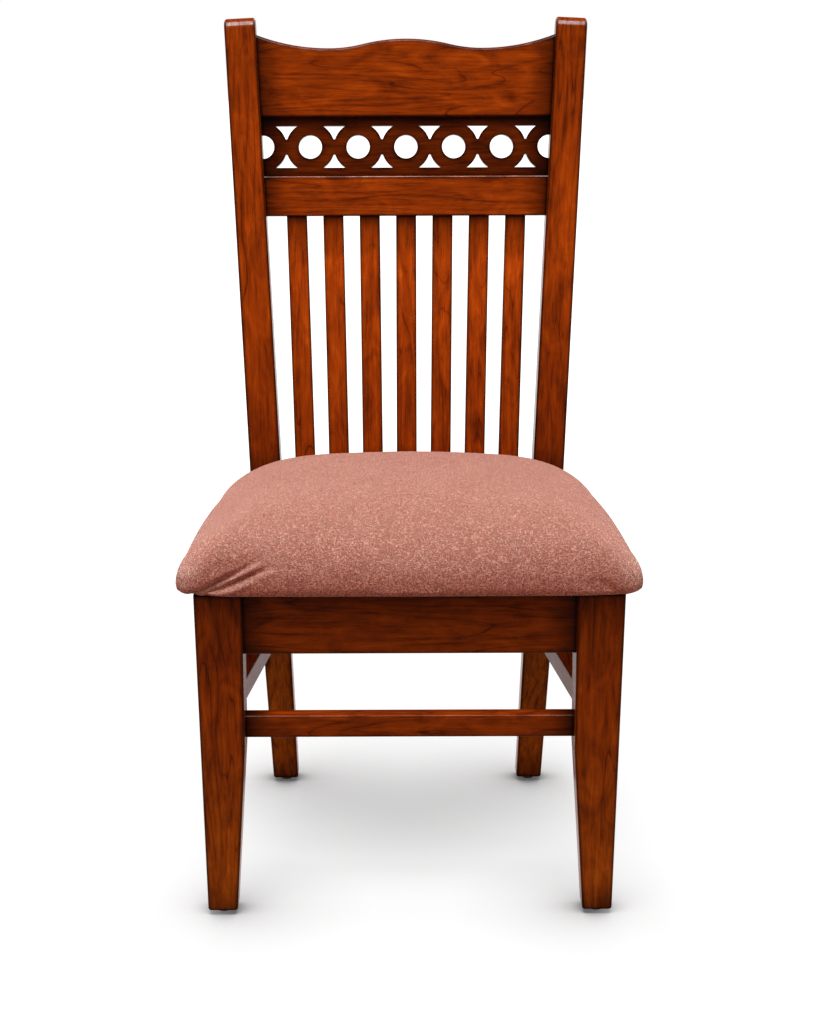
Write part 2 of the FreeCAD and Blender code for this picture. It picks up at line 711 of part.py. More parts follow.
slat_mortises = []
slat_count = int(value("slat_count"))
for position in range(slat_count):
    label = f"back_slat_{position + 1}"
    number = f"{position} - (slat_count - 1) / 2"
    middle = "(slat_recess + slat_thickness / 2)"
    blade = prism(label + "_blade", BACK, "y", slat_outline(number, "slat_width", "0"),
                  "slat_recess", "slat_recess + slat_thickness")
    ease(blade, blade.Tip, "rail_ease", lambda edge: edge.BoundBox.ZLength > value("slat_width"))
    tenon = prism(label + "_tenon", BACK, "y", slat_outline(number, "slat_tenon_width", "slat_tenon_length"),
                  f"{middle} - slat_tenon_thickness / 2", f"{middle} + slat_tenon_thickness / 2")
    slat_mortises.append(prism(
        label + "_mortise", BACK, "y",
        slat_outline(number, "slat_tenon_width + 2 * fit_gap", "slat_tenon_length + fit_gap"),
        f"{middle} - slat_tenon_thickness / 2 - fit_gap", f"{middle} + slat_tenon_thickness / 2 + fit_gap"))
    piece(label, fuse(label + "_joined", [blade, tenon]))

piece("crest_rail", cut("crest_rail_grooved", crest_rail, [fret_groove]))
piece("middle_back_rail", cut("middle_back_rail_cut", middle_rail, [fret_groove] + slat_mortises))
piece("lower_back_rail", cut("lower_back_rail_cut", lower_rail, slat_mortises))


# Turned hardware: screws and glides, each with the hole that it needs.
def turned(name, frame, corners):
    """A solid of revolution about its frame's upright axis."""
    body = new_body(name, frame)
    sketch = new_sketch(body, name + "_half", "y")
    add_loop(sketch, corners)
    spin = body.newObject("PartDesign::Revolution", name + "_turned")
    spin.Profile = sketch
    spin.ReferenceAxis = (sketch, ["V_Axis"])
    spin.Angle = 360
    doc.recompute()
    return body


def screw_pair(name, frame, run):
    """A countersunk screw from its head's face at zero along its axis, and its hole with the way in."""
    screw = turned(name, frame, [
        ("0", "0"), ("screw_head_radius", "0"), ("screw_shank_radius", "screw_head_height"),
        ("screw_shank_radius", run), ("0", run)])
    hole = turned(name + "_hole", frame, [
        ("0", "-block_reach / 2"), ("screw_head_radius + fit_gap", "-block_reach / 2"),
        ("screw_head_radius + fit_gap", "0"), ("screw_shank_radius + fit_gap", "screw_head_height"),
        ("screw_shank_radius + fit_gap", f"{run} + fit_gap"), ("0", f"{run} + fit_gap")])
    return screw, hole


FORWARD, BACKWARD = (Vector(1, 0, 0), "90"), (Vector(-1, 0, 0), "90")
LEFTWARD = (Vector(0, -1, 0), "90")
block_run = "block_screw_seat + screw_bite"
slope = "tan(side_angle)"
front_screw = screw_pair("front_rail_screw", (
    "-corner_x + block_screw_offset", "front_face + corner_y + block_screw_seat", "block_screw_level",
    *FORWARD), block_run)
front_side_screw = screw_pair("front_side_screw", (
    f"-corner_x + {slope} * (corner_y + block_screw_offset - front_leg_depth) + block_screw_seat",
    "front_face + corner_y + block_screw_offset", "block_screw_level", *LEFTWARD), block_run)
rear_screw = screw_pair("rear_rail_screw", (
    "-rear_corner_x + block_screw_offset", "front_face + rear_corner_y - block_screw_seat",
    "block_screw_level", *BACKWARD), block_run)
rear_side_screw = screw_pair("rear_side_screw", (
    f"-rear_corner_x - {slope} * (post_seat_front - rear_corner_y + block_screw_offset) + block_screw_seat",
    "front_face + rear_corner_y - block_screw_offset", "block_screw_level", *LEFTWARD), block_run)
front_seat_screw = screw_pair("front_seat_screw", (
    "-corner_x + seat_screw_offset", "front_face + corner_y + seat_screw_offset", "block_base",
    STRAIGHT, "0"), "seat_screw_run")
rear_seat_screw = screw_pair("rear_seat_screw", (
    "-rear_corner_x + seat_screw_offset", "front_face + rear_corner_y - seat_screw_offset", "block_base",
    STRAIGHT, "0"), "seat_screw_run")


def both_sides(name, pairs):
    """Screws of one kind on both sides of the chair, kept together as separate solids."""
    screws = [screw for screw, _ in pairs]
    return piece(name, group(name + "_group", screws + mirrored(screws)))


both_sides("corner_block_screws", [front_screw, front_side_screw, rear_screw, rear_side_screw])
both_sides("seat_screws", [front_seat_screw, rear_seat_screw])

# Corner blocks: three-cornered, cut to the leg or post and to the two rails that meet there.
front_block = prism("front_block_blank", CHAIR, "z", [
    ("-corner_x - block_reach", "corner_y"), ("-corner_x + block_reach", "corner_y"),
    ("-corner_x - block_reach", "corner_y + 2 * block_reach")], "block_base", "block_top")
rear_block = prism("rear_block_blank", CHAIR, "z", [
    ("-rear_corner_x - block_reach", "rear_corner_y"),
    ("-rear_corner_x - block_reach", "rear_corner_y - 2 * block_reach"),
    ("-rear_corner_x + block_reach", "rear_corner_y")], "block_base", "block_top")
outside = prism("side_rail_outside", LEFT_SIDE, "y",
                rectangle("-2 * block_reach", "rail_thickness / 2", "rail_base", "seat_frame_height"),
                "-2 * block_reach", "side_run + 2 * block_reach")
for place_name, blank, host, holes in (
        ("front", front_block, leg, [front_screw, front_side_screw, front_seat_screw]),
        ("rear", rear_block, post, [rear_screw, rear_side_screw, rear_seat_screw])):
    block = cut(f"{place_name}_block_cut", blank, [outside])
    block = cut(f"{place_name}_block_notched", block, [host])
    block = cut(f"{place_name}_block_drilled", block, [hole for _, hole in holes])
    piece(f"corner_block_{place_name}_left", block)
    piece(f"corner_block_{place_name}_right", mirror(block, f"{place_name}_block_right"))

front_holes = [front_screw[1]]
rear_holes = [rear_screw[1]]
piece("front_seat_rail", cut("front_seat_rail_drilled", front_rail, front_holes + mirrored(front_holes)))
piece("rear_seat_rail", cut("rear_seat_rail_drilled", rear_rail, rear_holes + mirrored(rear_holes)))
side_holes = [front_side_screw[1], rear_side_screw[1]]
piece("side_seat_rail_left", cut("side_seat_rail_drilled", side_rail, side_holes))
piece("side_seat_rail_right", mirror(pieces["side_seat_rail_left"], "side_seat_rail_mirrored"))
piece("front_stretcher", front_brace)
piece("rear_stretcher", rear_brace)
piece("side_stretcher_left", side_brace)
piece("side_stretcher_right", mirror(side_brace, "side_stretcher_mirrored"))


# Foot glides: a flat disc with a bevelled rim, on a nail in the end grain.
def glide_pair(name, across, depth):
    frame = (across, f"front_face + {depth}", "0", STRAIGHT, "0")
    nail_top = "glide_height + nail_length"
    glide = turned(name, frame, [
        ("0", "0"), ("glide_radius - glide_bevel", "0"), ("glide_radius", "glide_bevel"),
        ("glide_radius", "glide_height"),
        ("nail_radius", "glide_height"), ("nail_radius", nail_top), ("0", nail_top)])
    hole = turned(name + "_hole", frame, [
        ("0", "0"), ("nail_radius + fit_gap", "0"),
        ("nail_radius + fit_gap", f"{nail_top} + fit_gap"), ("0", f"{nail_top} + fit_gap")])
    return glide, hole


front_glide, front_glide_hole = glide_pair(
    "front_glide", "-front_foot_spread / 2 + front_foot_width / 2", "front_foot_depth / 2")
rear_glide, rear_glide_hole = glide_pair(
    "rear_glide", "-post_foot_spread / 2 + post_foot_width / 2", "post_foot_front + post_foot_depth / 2")
for place_name, glide in (("front", front_glide), ("rear", rear_glide)):
    piece(f"foot_glide_{place_name}_left", glide)
    piece(f"foot_glide_{place_name}_right", mirror(glide, f"{place_name}_glide_right"))

piece("front_leg_left", cut("front_leg_mortised", leg, leg_mortises + [front_glide_hole]))
piece("front_leg_right", mirror(pieces["front_leg_left"], "front_leg_mirrored"))
piece("back_post_left", cut("back_post_mortised", post, post_mortises + [rear_glide_hole]))
piece("back_post_right", mirror(pieces["back_post_left"], "back_post_mirrored"))


# Seat: a plywood board and foam inside a fabric cover that folds under the board.
def seat_outline(side, front, rear):
    """The seat's plan, drawn in from its widest outline by a distance on each edge."""
    corner = f"cushion_corner + ({front}) / 2"
    rear_corner = f"cushion_corner + ({rear}) / 2"
    return [(f"-seat_front_half + {side}", f"seat_front + {front}", corner),
            (f"seat_front_half - ({side})", f"seat_front + {front}", corner),
            (f"cushion_rear_half - ({side})", f"seat_rear - ({rear})", rear_corner),
            (f"-cushion_rear_half + {side}", f"seat_rear - ({rear})", rear_corner)]


def cushion_levels():
    """Height and insets of each section: drawn in below the widest level, rounded to a crown above it."""
    levels = []
    for step in range(TUCK_STEPS):
        angle = math.pi / 2 * step / TUCK_STEPS
        tuck = 1 - math.sin(angle)
        levels.append((f"{1 - math.cos(angle)} * cushion_widest_level", f"{tuck} * cushion_tuck",
                       f"{tuck} * cushion_tuck", f"{tuck} * cushion_rear_tuck"))
    for step in range(CROWN_STEPS + 1):
        angle = math.pi / 2 * step / CROWN_STEPS
        rise = math.sin(angle) ** (2 / CROWN_POWER)
        draw = 1 - max(math.cos(angle), 0) ** (2 / CROWN_POWER)
        levels.append((f"cushion_widest_level + {rise} * (cushion_height - cushion_widest_level)",
                       f"{draw} * crown_side_reach", f"{draw} * crown_front_reach",
                       f"{draw} * crown_rear_reach"))
    return levels


def cushion_form(name, skin):
    """The crowned form of the seat, drawn in on all sides by the thickness of a skin."""
    body = new_body(name, CHAIR)
    sketches = []
    for number, (height, *insets) in enumerate(cushion_levels()):
        level = f"seat_frame_height + {skin} + ({height}) * (1 - 2 * ({skin}) / cushion_height)"
        sketch = new_sketch(body, f"{name}_level_{number}", "z", level)
        add_loop(sketch, seat_outline(*(f"{inset} + {skin}" for inset in insets)))
        sketches.append(sketch)
    loft = body.newObject("PartDesign::AdditiveLoft", name + "_loft")
    loft.Profile = sketches[0]
    loft.Sections = sketches[1:]
    loft.Ruled = True
    doc.recompute()
    return body


cover_form = cushion_form("cover_outside", "0")
cover_inside = cushion_form("cover_inside", "cover_thickness")
lip = prism("cover_opening", CHAIR, "z", seat_outline(*["cover_lip"] * 3),
            "rail_base", "seat_frame_height + cover_thickness + board_thickness / 2")
piece("seat_cover", cut("seat_cover_shell", cover_form, [fuse("cover_hollow", [cover_inside, lip])]))
foam_form = cushion_form("foam_form", "cover_thickness + soft_gap")
board_space = prism("board_space", CHAIR, "z", seat_outline(*["-cushion_corner"] * 3),
                    "rail_base", "board_top + fit_gap")
piece("seat_foam", cut("seat_foam_cut", foam_form, [board_space]))
board = prism("seat_board_blank", CHAIR, "z", seat_outline(*["board_inset"] * 3), "board_base", "board_top")
dust = prism("dust_cover_blank", CHAIR, "z", seat_outline(*["cover_lip + soft_gap"] * 3),
             "board_base - fit_gap - dust_thickness", "board_base - fit_gap")
seat_holes = [front_seat_screw[1], rear_seat_screw[1]]
seat_holes += mirrored(seat_holes)
piece("seat_board", cut("seat_board_drilled", board, seat_holes))
piece("dust_cover", cut("dust_cover_pierced", dust, seat_holes))

doc.recompute()
broken = [item.Name for item in doc.Objects if "Invalid" in item.State or "Error" in item.State]
broken += [label for label, item in pieces.items() if item.Shape.isNull() or not item.Shape.isValid()]
if broken:
    raise RuntimeError("these did not build: " + ", ".join(broken))
os.makedirs("parts", exist_ok=True)
for label, item in pieces.items():
    item.Shape.exportStep(f"parts/{label}.step")
    print(label, len(item.Shape.Solids), "solids", round(item.Shape.Volume), "mm3")
print(len(pieces), "pieces")
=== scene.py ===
# %% [markdown]
# A dining chair in lacquered wood
# The imported model gives every wooden piece at its real size. This lesson adds what a photograph would show:
# the grain and gloss of the wood, the stuffed seat with its woven cover, and a plain white studio.
# The frame is loaded first.

# %% Load the frame
import math

import bpy
import numpy as np
from mathutils import Matrix, Vector


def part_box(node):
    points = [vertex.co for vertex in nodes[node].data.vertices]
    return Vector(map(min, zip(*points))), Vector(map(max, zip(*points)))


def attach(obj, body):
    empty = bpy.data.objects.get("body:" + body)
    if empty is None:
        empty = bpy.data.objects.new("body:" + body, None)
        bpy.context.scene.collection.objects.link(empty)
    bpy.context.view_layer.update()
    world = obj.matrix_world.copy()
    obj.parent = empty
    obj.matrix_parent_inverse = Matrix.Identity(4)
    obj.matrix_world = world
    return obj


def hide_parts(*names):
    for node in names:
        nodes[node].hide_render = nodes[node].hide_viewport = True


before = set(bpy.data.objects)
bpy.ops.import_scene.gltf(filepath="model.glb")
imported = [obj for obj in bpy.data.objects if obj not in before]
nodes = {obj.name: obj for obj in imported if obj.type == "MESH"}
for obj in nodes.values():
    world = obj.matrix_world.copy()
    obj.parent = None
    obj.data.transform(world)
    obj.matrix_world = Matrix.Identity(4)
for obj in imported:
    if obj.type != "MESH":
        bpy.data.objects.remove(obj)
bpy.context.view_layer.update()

scene = bpy.context.scene
MM = 0.001
print("wooden and other pieces:", len(nodes))

# %% [markdown]
# The camera
# The picture was taken from in front, a little above the top of the chair, with a long lens. A real camera has a
# place, a tilt and a lens, so those are what we set. The frame is taller than wide, and Blender lays the sensor's
# width along the longer side, so the lens follows from the picture's height.

# %% Camera
PICTURE_HEIGHT = 1024
FOCAL_PIXELS = 2246.0
SENSOR = 36.0
CAMERA_HEIGHT = 1122 * MM
CAMERA_DISTANCE = 2414 * MM
CAMERA_ASIDE = -20 * MM
CAMERA_TILT = math.radians(14.765)
CAMERA_ROLL = math.radians(-0.2)
SHIFT_PIXELS = 18.0

leg_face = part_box("front_leg_left")[0].y
camera_data = bpy.data.cameras.new("camera")
camera_data.sensor_width = SENSOR
camera_data.lens = FOCAL_PIXELS * SENSOR / PICTURE_HEIGHT
camera_data.shift_x = SHIFT_PIXELS / PICTURE_HEIGHT
camera = bpy.data.objects.new("camera", camera_data)
camera.matrix_world = (Matrix.Translation((CAMERA_ASIDE, leg_face - CAMERA_DISTANCE, CAMERA_HEIGHT))
                       @ Matrix.Rotation(math.pi / 2 - CAMERA_TILT, 4, "X")
                       @ Matrix.Rotation(CAMERA_ROLL, 4, "Z"))
scene.collection.objects.link(camera)
scene.camera = camera
scene.view_settings.view_transform = "Standard"
print("lens", round(camera_data.lens, 2), "mm")

# %% [markdown]
# Small helpers for node trees
# Every finish below is a tree of nodes. A tree is easier to read when one line makes one node and says what goes
# into it, so the helpers take either a number or another node's output and do the linking.

# %% Node helpers
def add(tree, kind, inputs=None, **settings):
    """Make a node. An input that is another node's output is linked, and any other is set."""
    node = tree.nodes.new(kind)
    for name, setting in settings.items():
        setattr(node, name, setting)
    for socket, given in (inputs or {}).items():
        if isinstance(given, bpy.types.NodeSocket):
            tree.links.new(given, node.inputs[socket])
        else:
            node.inputs[socket].default_value = given
    return node


def maths(tree, operation, *terms):
    return add(tree, "ShaderNodeMath", dict(enumerate(terms)), operation=operation).outputs[0]


def noise(tree, where, scale, detail=2.0, roughness=0.5, distortion=0.0):
    inputs = {"Vector": where, "Scale": scale, "Detail": detail, "Roughness": roughness, "Distortion": distortion}
    return add(tree, "ShaderNodeTexNoise", inputs).outputs["Fac"]


def stretch(tree, where, scale, turn=(0, 0, 0), move=(0, 0, 0)):
    inputs = {"Vector": where, "Location": move, "Rotation": turn, "Scale": scale}
    return add(tree, "ShaderNodeMapping", inputs).outputs[0]


def span(tree, given, low, high, new_low=0.0, new_high=1.0, smooth=False):
    """Spread a value's range from low..high to a new one, and hold it there."""
    inputs = {"Value": given, "From Min": low, "From Max": high, "To Min": new_low, "To Max": new_high}
    kind = "SMOOTHSTEP" if smooth else "LINEAR"
    return add(tree, "ShaderNodeMapRange", inputs, interpolation_type=kind).outputs[0]


def ramp(tree, factor, stops):
    """A colour for each step of a value."""
    node = add(tree, "ShaderNodeValToRGB", {"Fac": factor})
    elements = node.color_ramp.elements
    while len(elements) < len(stops):
        elements.new(1.0)
    while len(elements) > len(stops):
        elements.remove(elements[-1])
    for element, (position, colour) in zip(elements, stops):
        element.position = position
        element.color = (*colour, 1.0)
    return node.outputs[0]


def blend_colours(tree, factor, first, second, kind="MIX"):
    node = add(tree, "ShaderNodeMix", {0: factor}, data_type="RGBA", blend_type=kind, clamp_factor=True)
    for socket, given in ((node.inputs[6], first), (node.inputs[7], second)):
        if isinstance(given, bpy.types.NodeSocket):
            tree.links.new(given, socket)
        else:
            socket.default_value = (*given, 1.0)
    return node.outputs[2]


def new_finish(name):
    """A material with its tree, its shader and its place on the piece."""
    material = bpy.data.materials.new(name)
    material.use_nodes = True
    tree = material.node_tree
    place = add(tree, "ShaderNodeTexCoord").outputs["Object"]
    return material, tree, tree.nodes["Principled BSDF"], place


def wear(piece, material):
    piece.data.materials.clear()
    piece.data.materials.append(material)


print("helpers ready")

# %% [markdown]
# The studio
# The chair stands on white paper that runs into a white room without a line. Real paper is lit until it is nearly
# white, and only the chair's shadow is left on it. A lamp strong enough for that would bleach the wood, so the paper
# is grey and gets a brightness of its own that only the camera and reflections see, with the chair's shadow painted
# into it. That brightness is lowest under the seat and grows away from it. An Ambient Occlusion node finds the feet,
# where a painted shade is deepest on the inner side.

# %% Studio floor
WHITE = (1.0, 1.0, 1.0, 1.0)
FLOOR_HALF = 12.0
FLOOR_COLOUR = (0.42, 0.42, 0.42, 1.0)
SHADOW_MIDDLE = leg_face + 0.335
SHADOW_REACH = 0.255
SHADOW_NARROW = 0.82
SHADOW_GLOW = 0.51
PAPER_GLOW = 0.76
FRONT_GLOW = 0.86
FRONT_START, FRONT_END = leg_face - 0.08, leg_face + 0.12
FAR_START, FAR_END = 0.6, 2.6
FAR_GLOW = 0.45
FOOT_SHADOW = 0.16
FOOT_OPEN = 0.46
FOOT_DARKEST = 0.10
FOOT_OUTSIDE = 0.55
FOOT_MIDDLE = -sum(corner.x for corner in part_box("foot_glide_front_left")) / 2
FOOT_INNER, FOOT_OUTER = FOOT_MIDDLE - 0.02, FOOT_MIDDLE + 0.05


def seen_directly(tree):
    """One where the camera, a reflection or a see-through piece looks, and nought for light."""
    path = add(tree, "ShaderNodeLightPath").outputs
    mirror = maths(tree, "MAXIMUM", path["Is Glossy Ray"], path["Is Transmission Ray"])
    return maths(tree, "MAXIMUM", path["Is Camera Ray"], mirror)


def make_floor():
    mesh = bpy.data.meshes.new("floor")
    corners = [(x * FLOOR_HALF, y * FLOOR_HALF, 0.0) for x, y in ((-1, -1), (1, -1), (1, 1), (-1, 1))]
    mesh.from_pydata(corners, [], [(0, 1, 2, 3)])
    floor = bpy.data.objects.new("floor", mesh)
    scene.collection.objects.link(floor)
    material = bpy.data.materials.new("white_paper")
    material.use_nodes = True
    tree = material.node_tree
    tree.nodes.clear()
    paper = add(tree, "ShaderNodeBsdfDiffuse", {"Color": FLOOR_COLOUR})
    place = add(tree, "ShaderNodeTexCoord").outputs["Object"]
    under = stretch(tree, place, (SHADOW_NARROW, 1, 1), move=(0, -SHADOW_MIDDLE, 0))
    away = add(tree, "ShaderNodeVectorMath", {0: under}, operation="LENGTH").outputs["Value"]
    # Painted shadow of the chair: the glow is lowest under the seat, a little less in front of it, and more far away.
    whiter = span(tree, away, 0.0, SHADOW_REACH, SHADOW_GLOW, PAPER_GLOW, smooth=True)
    across, depthwise, _ = add(tree, "ShaderNodeSeparateXYZ", {0: place}).outputs
    in_front = span(tree, depthwise, FRONT_START, FRONT_END, FRONT_GLOW, 1.0, smooth=True)
    whiter = maths(tree, "MULTIPLY_ADD", whiter, in_front, span(tree, away, FAR_START, FAR_END, 0.0, FAR_GLOW))
    # Painted shade round each foot, found by Ambient Occlusion and deepest on the inner side.
    open_air = add(tree, "ShaderNodeAmbientOcclusion", {"Distance": FOOT_SHADOW}, samples=8).outputs["AO"]
    sideways = maths(tree, "ABSOLUTE", across)
    darkest = span(tree, sideways, FOOT_INNER, FOOT_OUTER, FOOT_DARKEST, FOOT_OUTSIDE, smooth=True)
    shade = add(tree, "ShaderNodeMix", {0: span(tree, open_air, FOOT_OPEN, 1.0), 2: darkest, 3: 1.0}).outputs[0]
    whiter = maths(tree, "MULTIPLY", whiter, shade)
    shine = maths(tree, "MULTIPLY", seen_directly(tree), whiter)
    glow = add(tree, "ShaderNodeEmission", {"Color": WHITE, "Strength": shine})
    both = add(tree, "ShaderNodeAddShader", {0: paper.outputs[0], 1: glow.outputs[0]})
    add(tree, "ShaderNodeOutputMaterial", {"Surface": both.outputs[0]})
    wear(floor, material)


make_floor()
print("paper floor", 2 * FLOOR_HALF, "m wide")

# %% [markdown]
# The room and the lamp
# One soft lamp hangs over the chair. The rest of the light comes from the white room, which is brighter at the sides
# and behind, as if large white boards stood there. Boards could be modelled as lit planes, but a World whose strength
# follows the direction does the same with nothing in the way of the camera. The camera itself sees plain white.

# %% Room and lamp
ROOM_LIGHT = 0.15
SIDE_BOARDS = 8.0
SIDE_FALL = 4.0
BACK_BOARD = 4.0
BACK_FALL = 2.0
LAMPS = [  # name, place, aim, size, watts
    ("overhead_lamp", (-0.15, -0.8, 3.1), (0.0, 0.0, 0.4), 1.9, 68.0),
]


def make_room():
    world = bpy.data.worlds.new("room")
    world.use_nodes = True
    tree = world.node_tree
    tree.nodes.clear()
    direction = add(tree, "ShaderNodeTexCoord").outputs["Generated"]
    aside, behind, _ = add(tree, "ShaderNodeSeparateXYZ", {0: direction}).outputs
    sides = maths(tree, "MULTIPLY", maths(tree, "POWER", maths(tree, "ABSOLUTE", aside), SIDE_FALL), SIDE_BOARDS)
    back = maths(tree, "MULTIPLY", maths(tree, "POWER", maths(tree, "MAXIMUM", behind, 0.0), BACK_FALL), BACK_BOARD)
    boards = maths(tree, "ADD", sides, back)
    light = maths(tree, "MULTIPLY", maths(tree, "ADD", boards, 1.0), ROOM_LIGHT)
    strength = add(tree, "ShaderNodeMix", {0: seen_directly(tree), 2: light, 3: 1.0}).outputs[0]
    sky = add(tree, "ShaderNodeBackground", {"Color": WHITE, "Strength": strength})
    add(tree, "ShaderNodeOutputWorld", {"Surface": sky.outputs[0]})
    scene.world = world


def make_lamp(name, place, aim, size, watts):
    lamp = bpy.data.lights.new(name, "AREA")
    lamp.size = size
    lamp.energy = watts
    holder = bpy.data.objects.new(name, lamp)
    holder.location = place
    holder.rotation_euler = (Vector(aim) - Vector(place)).to_track_quat("-Z", "Y").to_euler()
    scene.collection.objects.link(holder)


make_room()
for lamp in LAMPS:
    make_lamp(*lamp)
print("studio lit by", len(LAMPS), "lamp and a white room")

# %% [markdown]
# The figure of the wood
# On the real chair each piece was sawn from its own board, so the grain runs along the piece and no two pieces look
# alike. An image would stretch over the corners, so the grain is worked out in space instead: the place on the piece
# is turned until its length lies along X, then growth rings with thin dark veins, streaks, fibres and cloudy patches
# are laid over each other. Each is a noise, drawn out along the grain by a small scale on X.

# %% Figure of the wood
GROWTH = (2.6, 24, 24)  # how fine each pattern is along the grain, then twice across it
PATCHES = (9, 40, 40)
STREAKS = (14, 200, 200)
FIBRES = (40, 800, 800)
CLOUDS = (17, 44, 44)
RINGS = 20.0
VEIN_THINNESS = 22.0
RING_WEIGHT, STREAK_WEIGHT, CLOUD_WEIGHT, FIBRE_WEIGHT, VEIN_WEIGHT = -0.05, 0.32, 0.38, 0.20, -0.19
FIGURE_DARK, FIGURE_LIGHT = 0.13, 0.69


def wood_figure(tree, grain):
    """How light the grain is at each place, about 0 to 1, and its fibres and clouds."""
    growth = noise(tree, stretch(tree, grain, GROWTH), 1.0, 1.5, 0.45, 0.5)
    rings = maths(tree, "PINGPONG", maths(tree, "MULTIPLY", growth, RINGS), 1.0)
    patches = span(tree, noise(tree, stretch(tree, grain, PATCHES), 1.0, 2.0), 0.38, 0.62)
    veins = maths(tree, "MULTIPLY", maths(tree, "POWER", rings, VEIN_THINNESS), patches)
    streaks = noise(tree, stretch(tree, grain, STREAKS), 1.0, 4.0, 0.6, 0.5)
    fibres = noise(tree, stretch(tree, grain, FIBRES), 1.0, 2.0, 0.6)
    clouds = noise(tree, stretch(tree, grain, CLOUDS), 1.0, 4.0, 0.58, 1.2)
    light = maths(tree, "MULTIPLY_ADD", rings, RING_WEIGHT, maths(tree, "MULTIPLY", streaks, STREAK_WEIGHT))
    light = maths(tree, "MULTIPLY_ADD", clouds, CLOUD_WEIGHT, light)
    light = maths(tree, "MULTIPLY_ADD", fibres, FIBRE_WEIGHT, light)
    light = maths(tree, "MULTIPLY_ADD", veins, VEIN_WEIGHT, light)
    return span(tree, light, FIGURE_DARK, FIGURE_LIGHT), fibres, clouds


print("fibres about", round(1000 / FIBRES[1], 1), "mm thick")

# %% [markdown]
# The stain, the painted shade and the lacquer
# The wood is stained a deep red brown under a thin gloss. Its colour is painted darker along edges, in joints and at
# the ends of rails, where shade falls, and less so on edges that lean up to the lamp, as if they were lit. Each piece
# is also painted lighter at some heights than at others. The lacquer shines most on rounded edges that lean up to the
# lamp. Painting all that by hand would need an image for each piece, so a Bevel node finds the edges, an Ambient
# Occlusion node finds the joints, and the direction of the face says how much lacquer shows.

# %% Stain and lacquer
# The edge, joint and end shades below are painted shade, multiplied into the stain's colour.
EDGE_REACH = 9.5 * MM
EDGE_SHADE = 0.12
SIDE_EDGES = 0.4
JOINT_REACH = 42 * MM
JOINT_SHADE = 0.14
END_REACH = 40 * MM
END_SHADE = 0.35
STAIN = [  # share of the grain's light, then the stain's colour there
    (0.00, (0.030, 0.0036, 0.0006)), (0.35, (0.165, 0.0195, 0.0014)),
    (0.65, (0.410, 0.0530, 0.0026)), (1.00, (0.670, 0.1330, 0.0080))]
STAIN_IOR = 1.08
LACQUER_IOR = 1.75
LACQUER_ROUGHNESS = 0.12
FIBRE_DEPTH = 0.3 * MM


def near_edges(tree, turn):
    """Nought on the flat faces of a squared piece, rising to one on its rounded edges."""
    rounded = add(tree, "ShaderNodeBevel", {"Radius": EDGE_REACH}, samples=8).outputs[0]
    squared = add(tree, "ShaderNodeMapping", {"Vector": rounded, "Rotation": turn}, vector_type="VECTOR").outputs[0]
    size = add(tree, "ShaderNodeVectorMath", {0: squared}, operation="ABSOLUTE").outputs[0]
    parts = add(tree, "ShaderNodeSeparateXYZ", {0: size}).outputs
    most = maths(tree, "MAXIMUM", parts["X"], maths(tree, "MAXIMUM", parts["Y"], parts["Z"]))
    return span(tree, most, 0.985, 0.76)


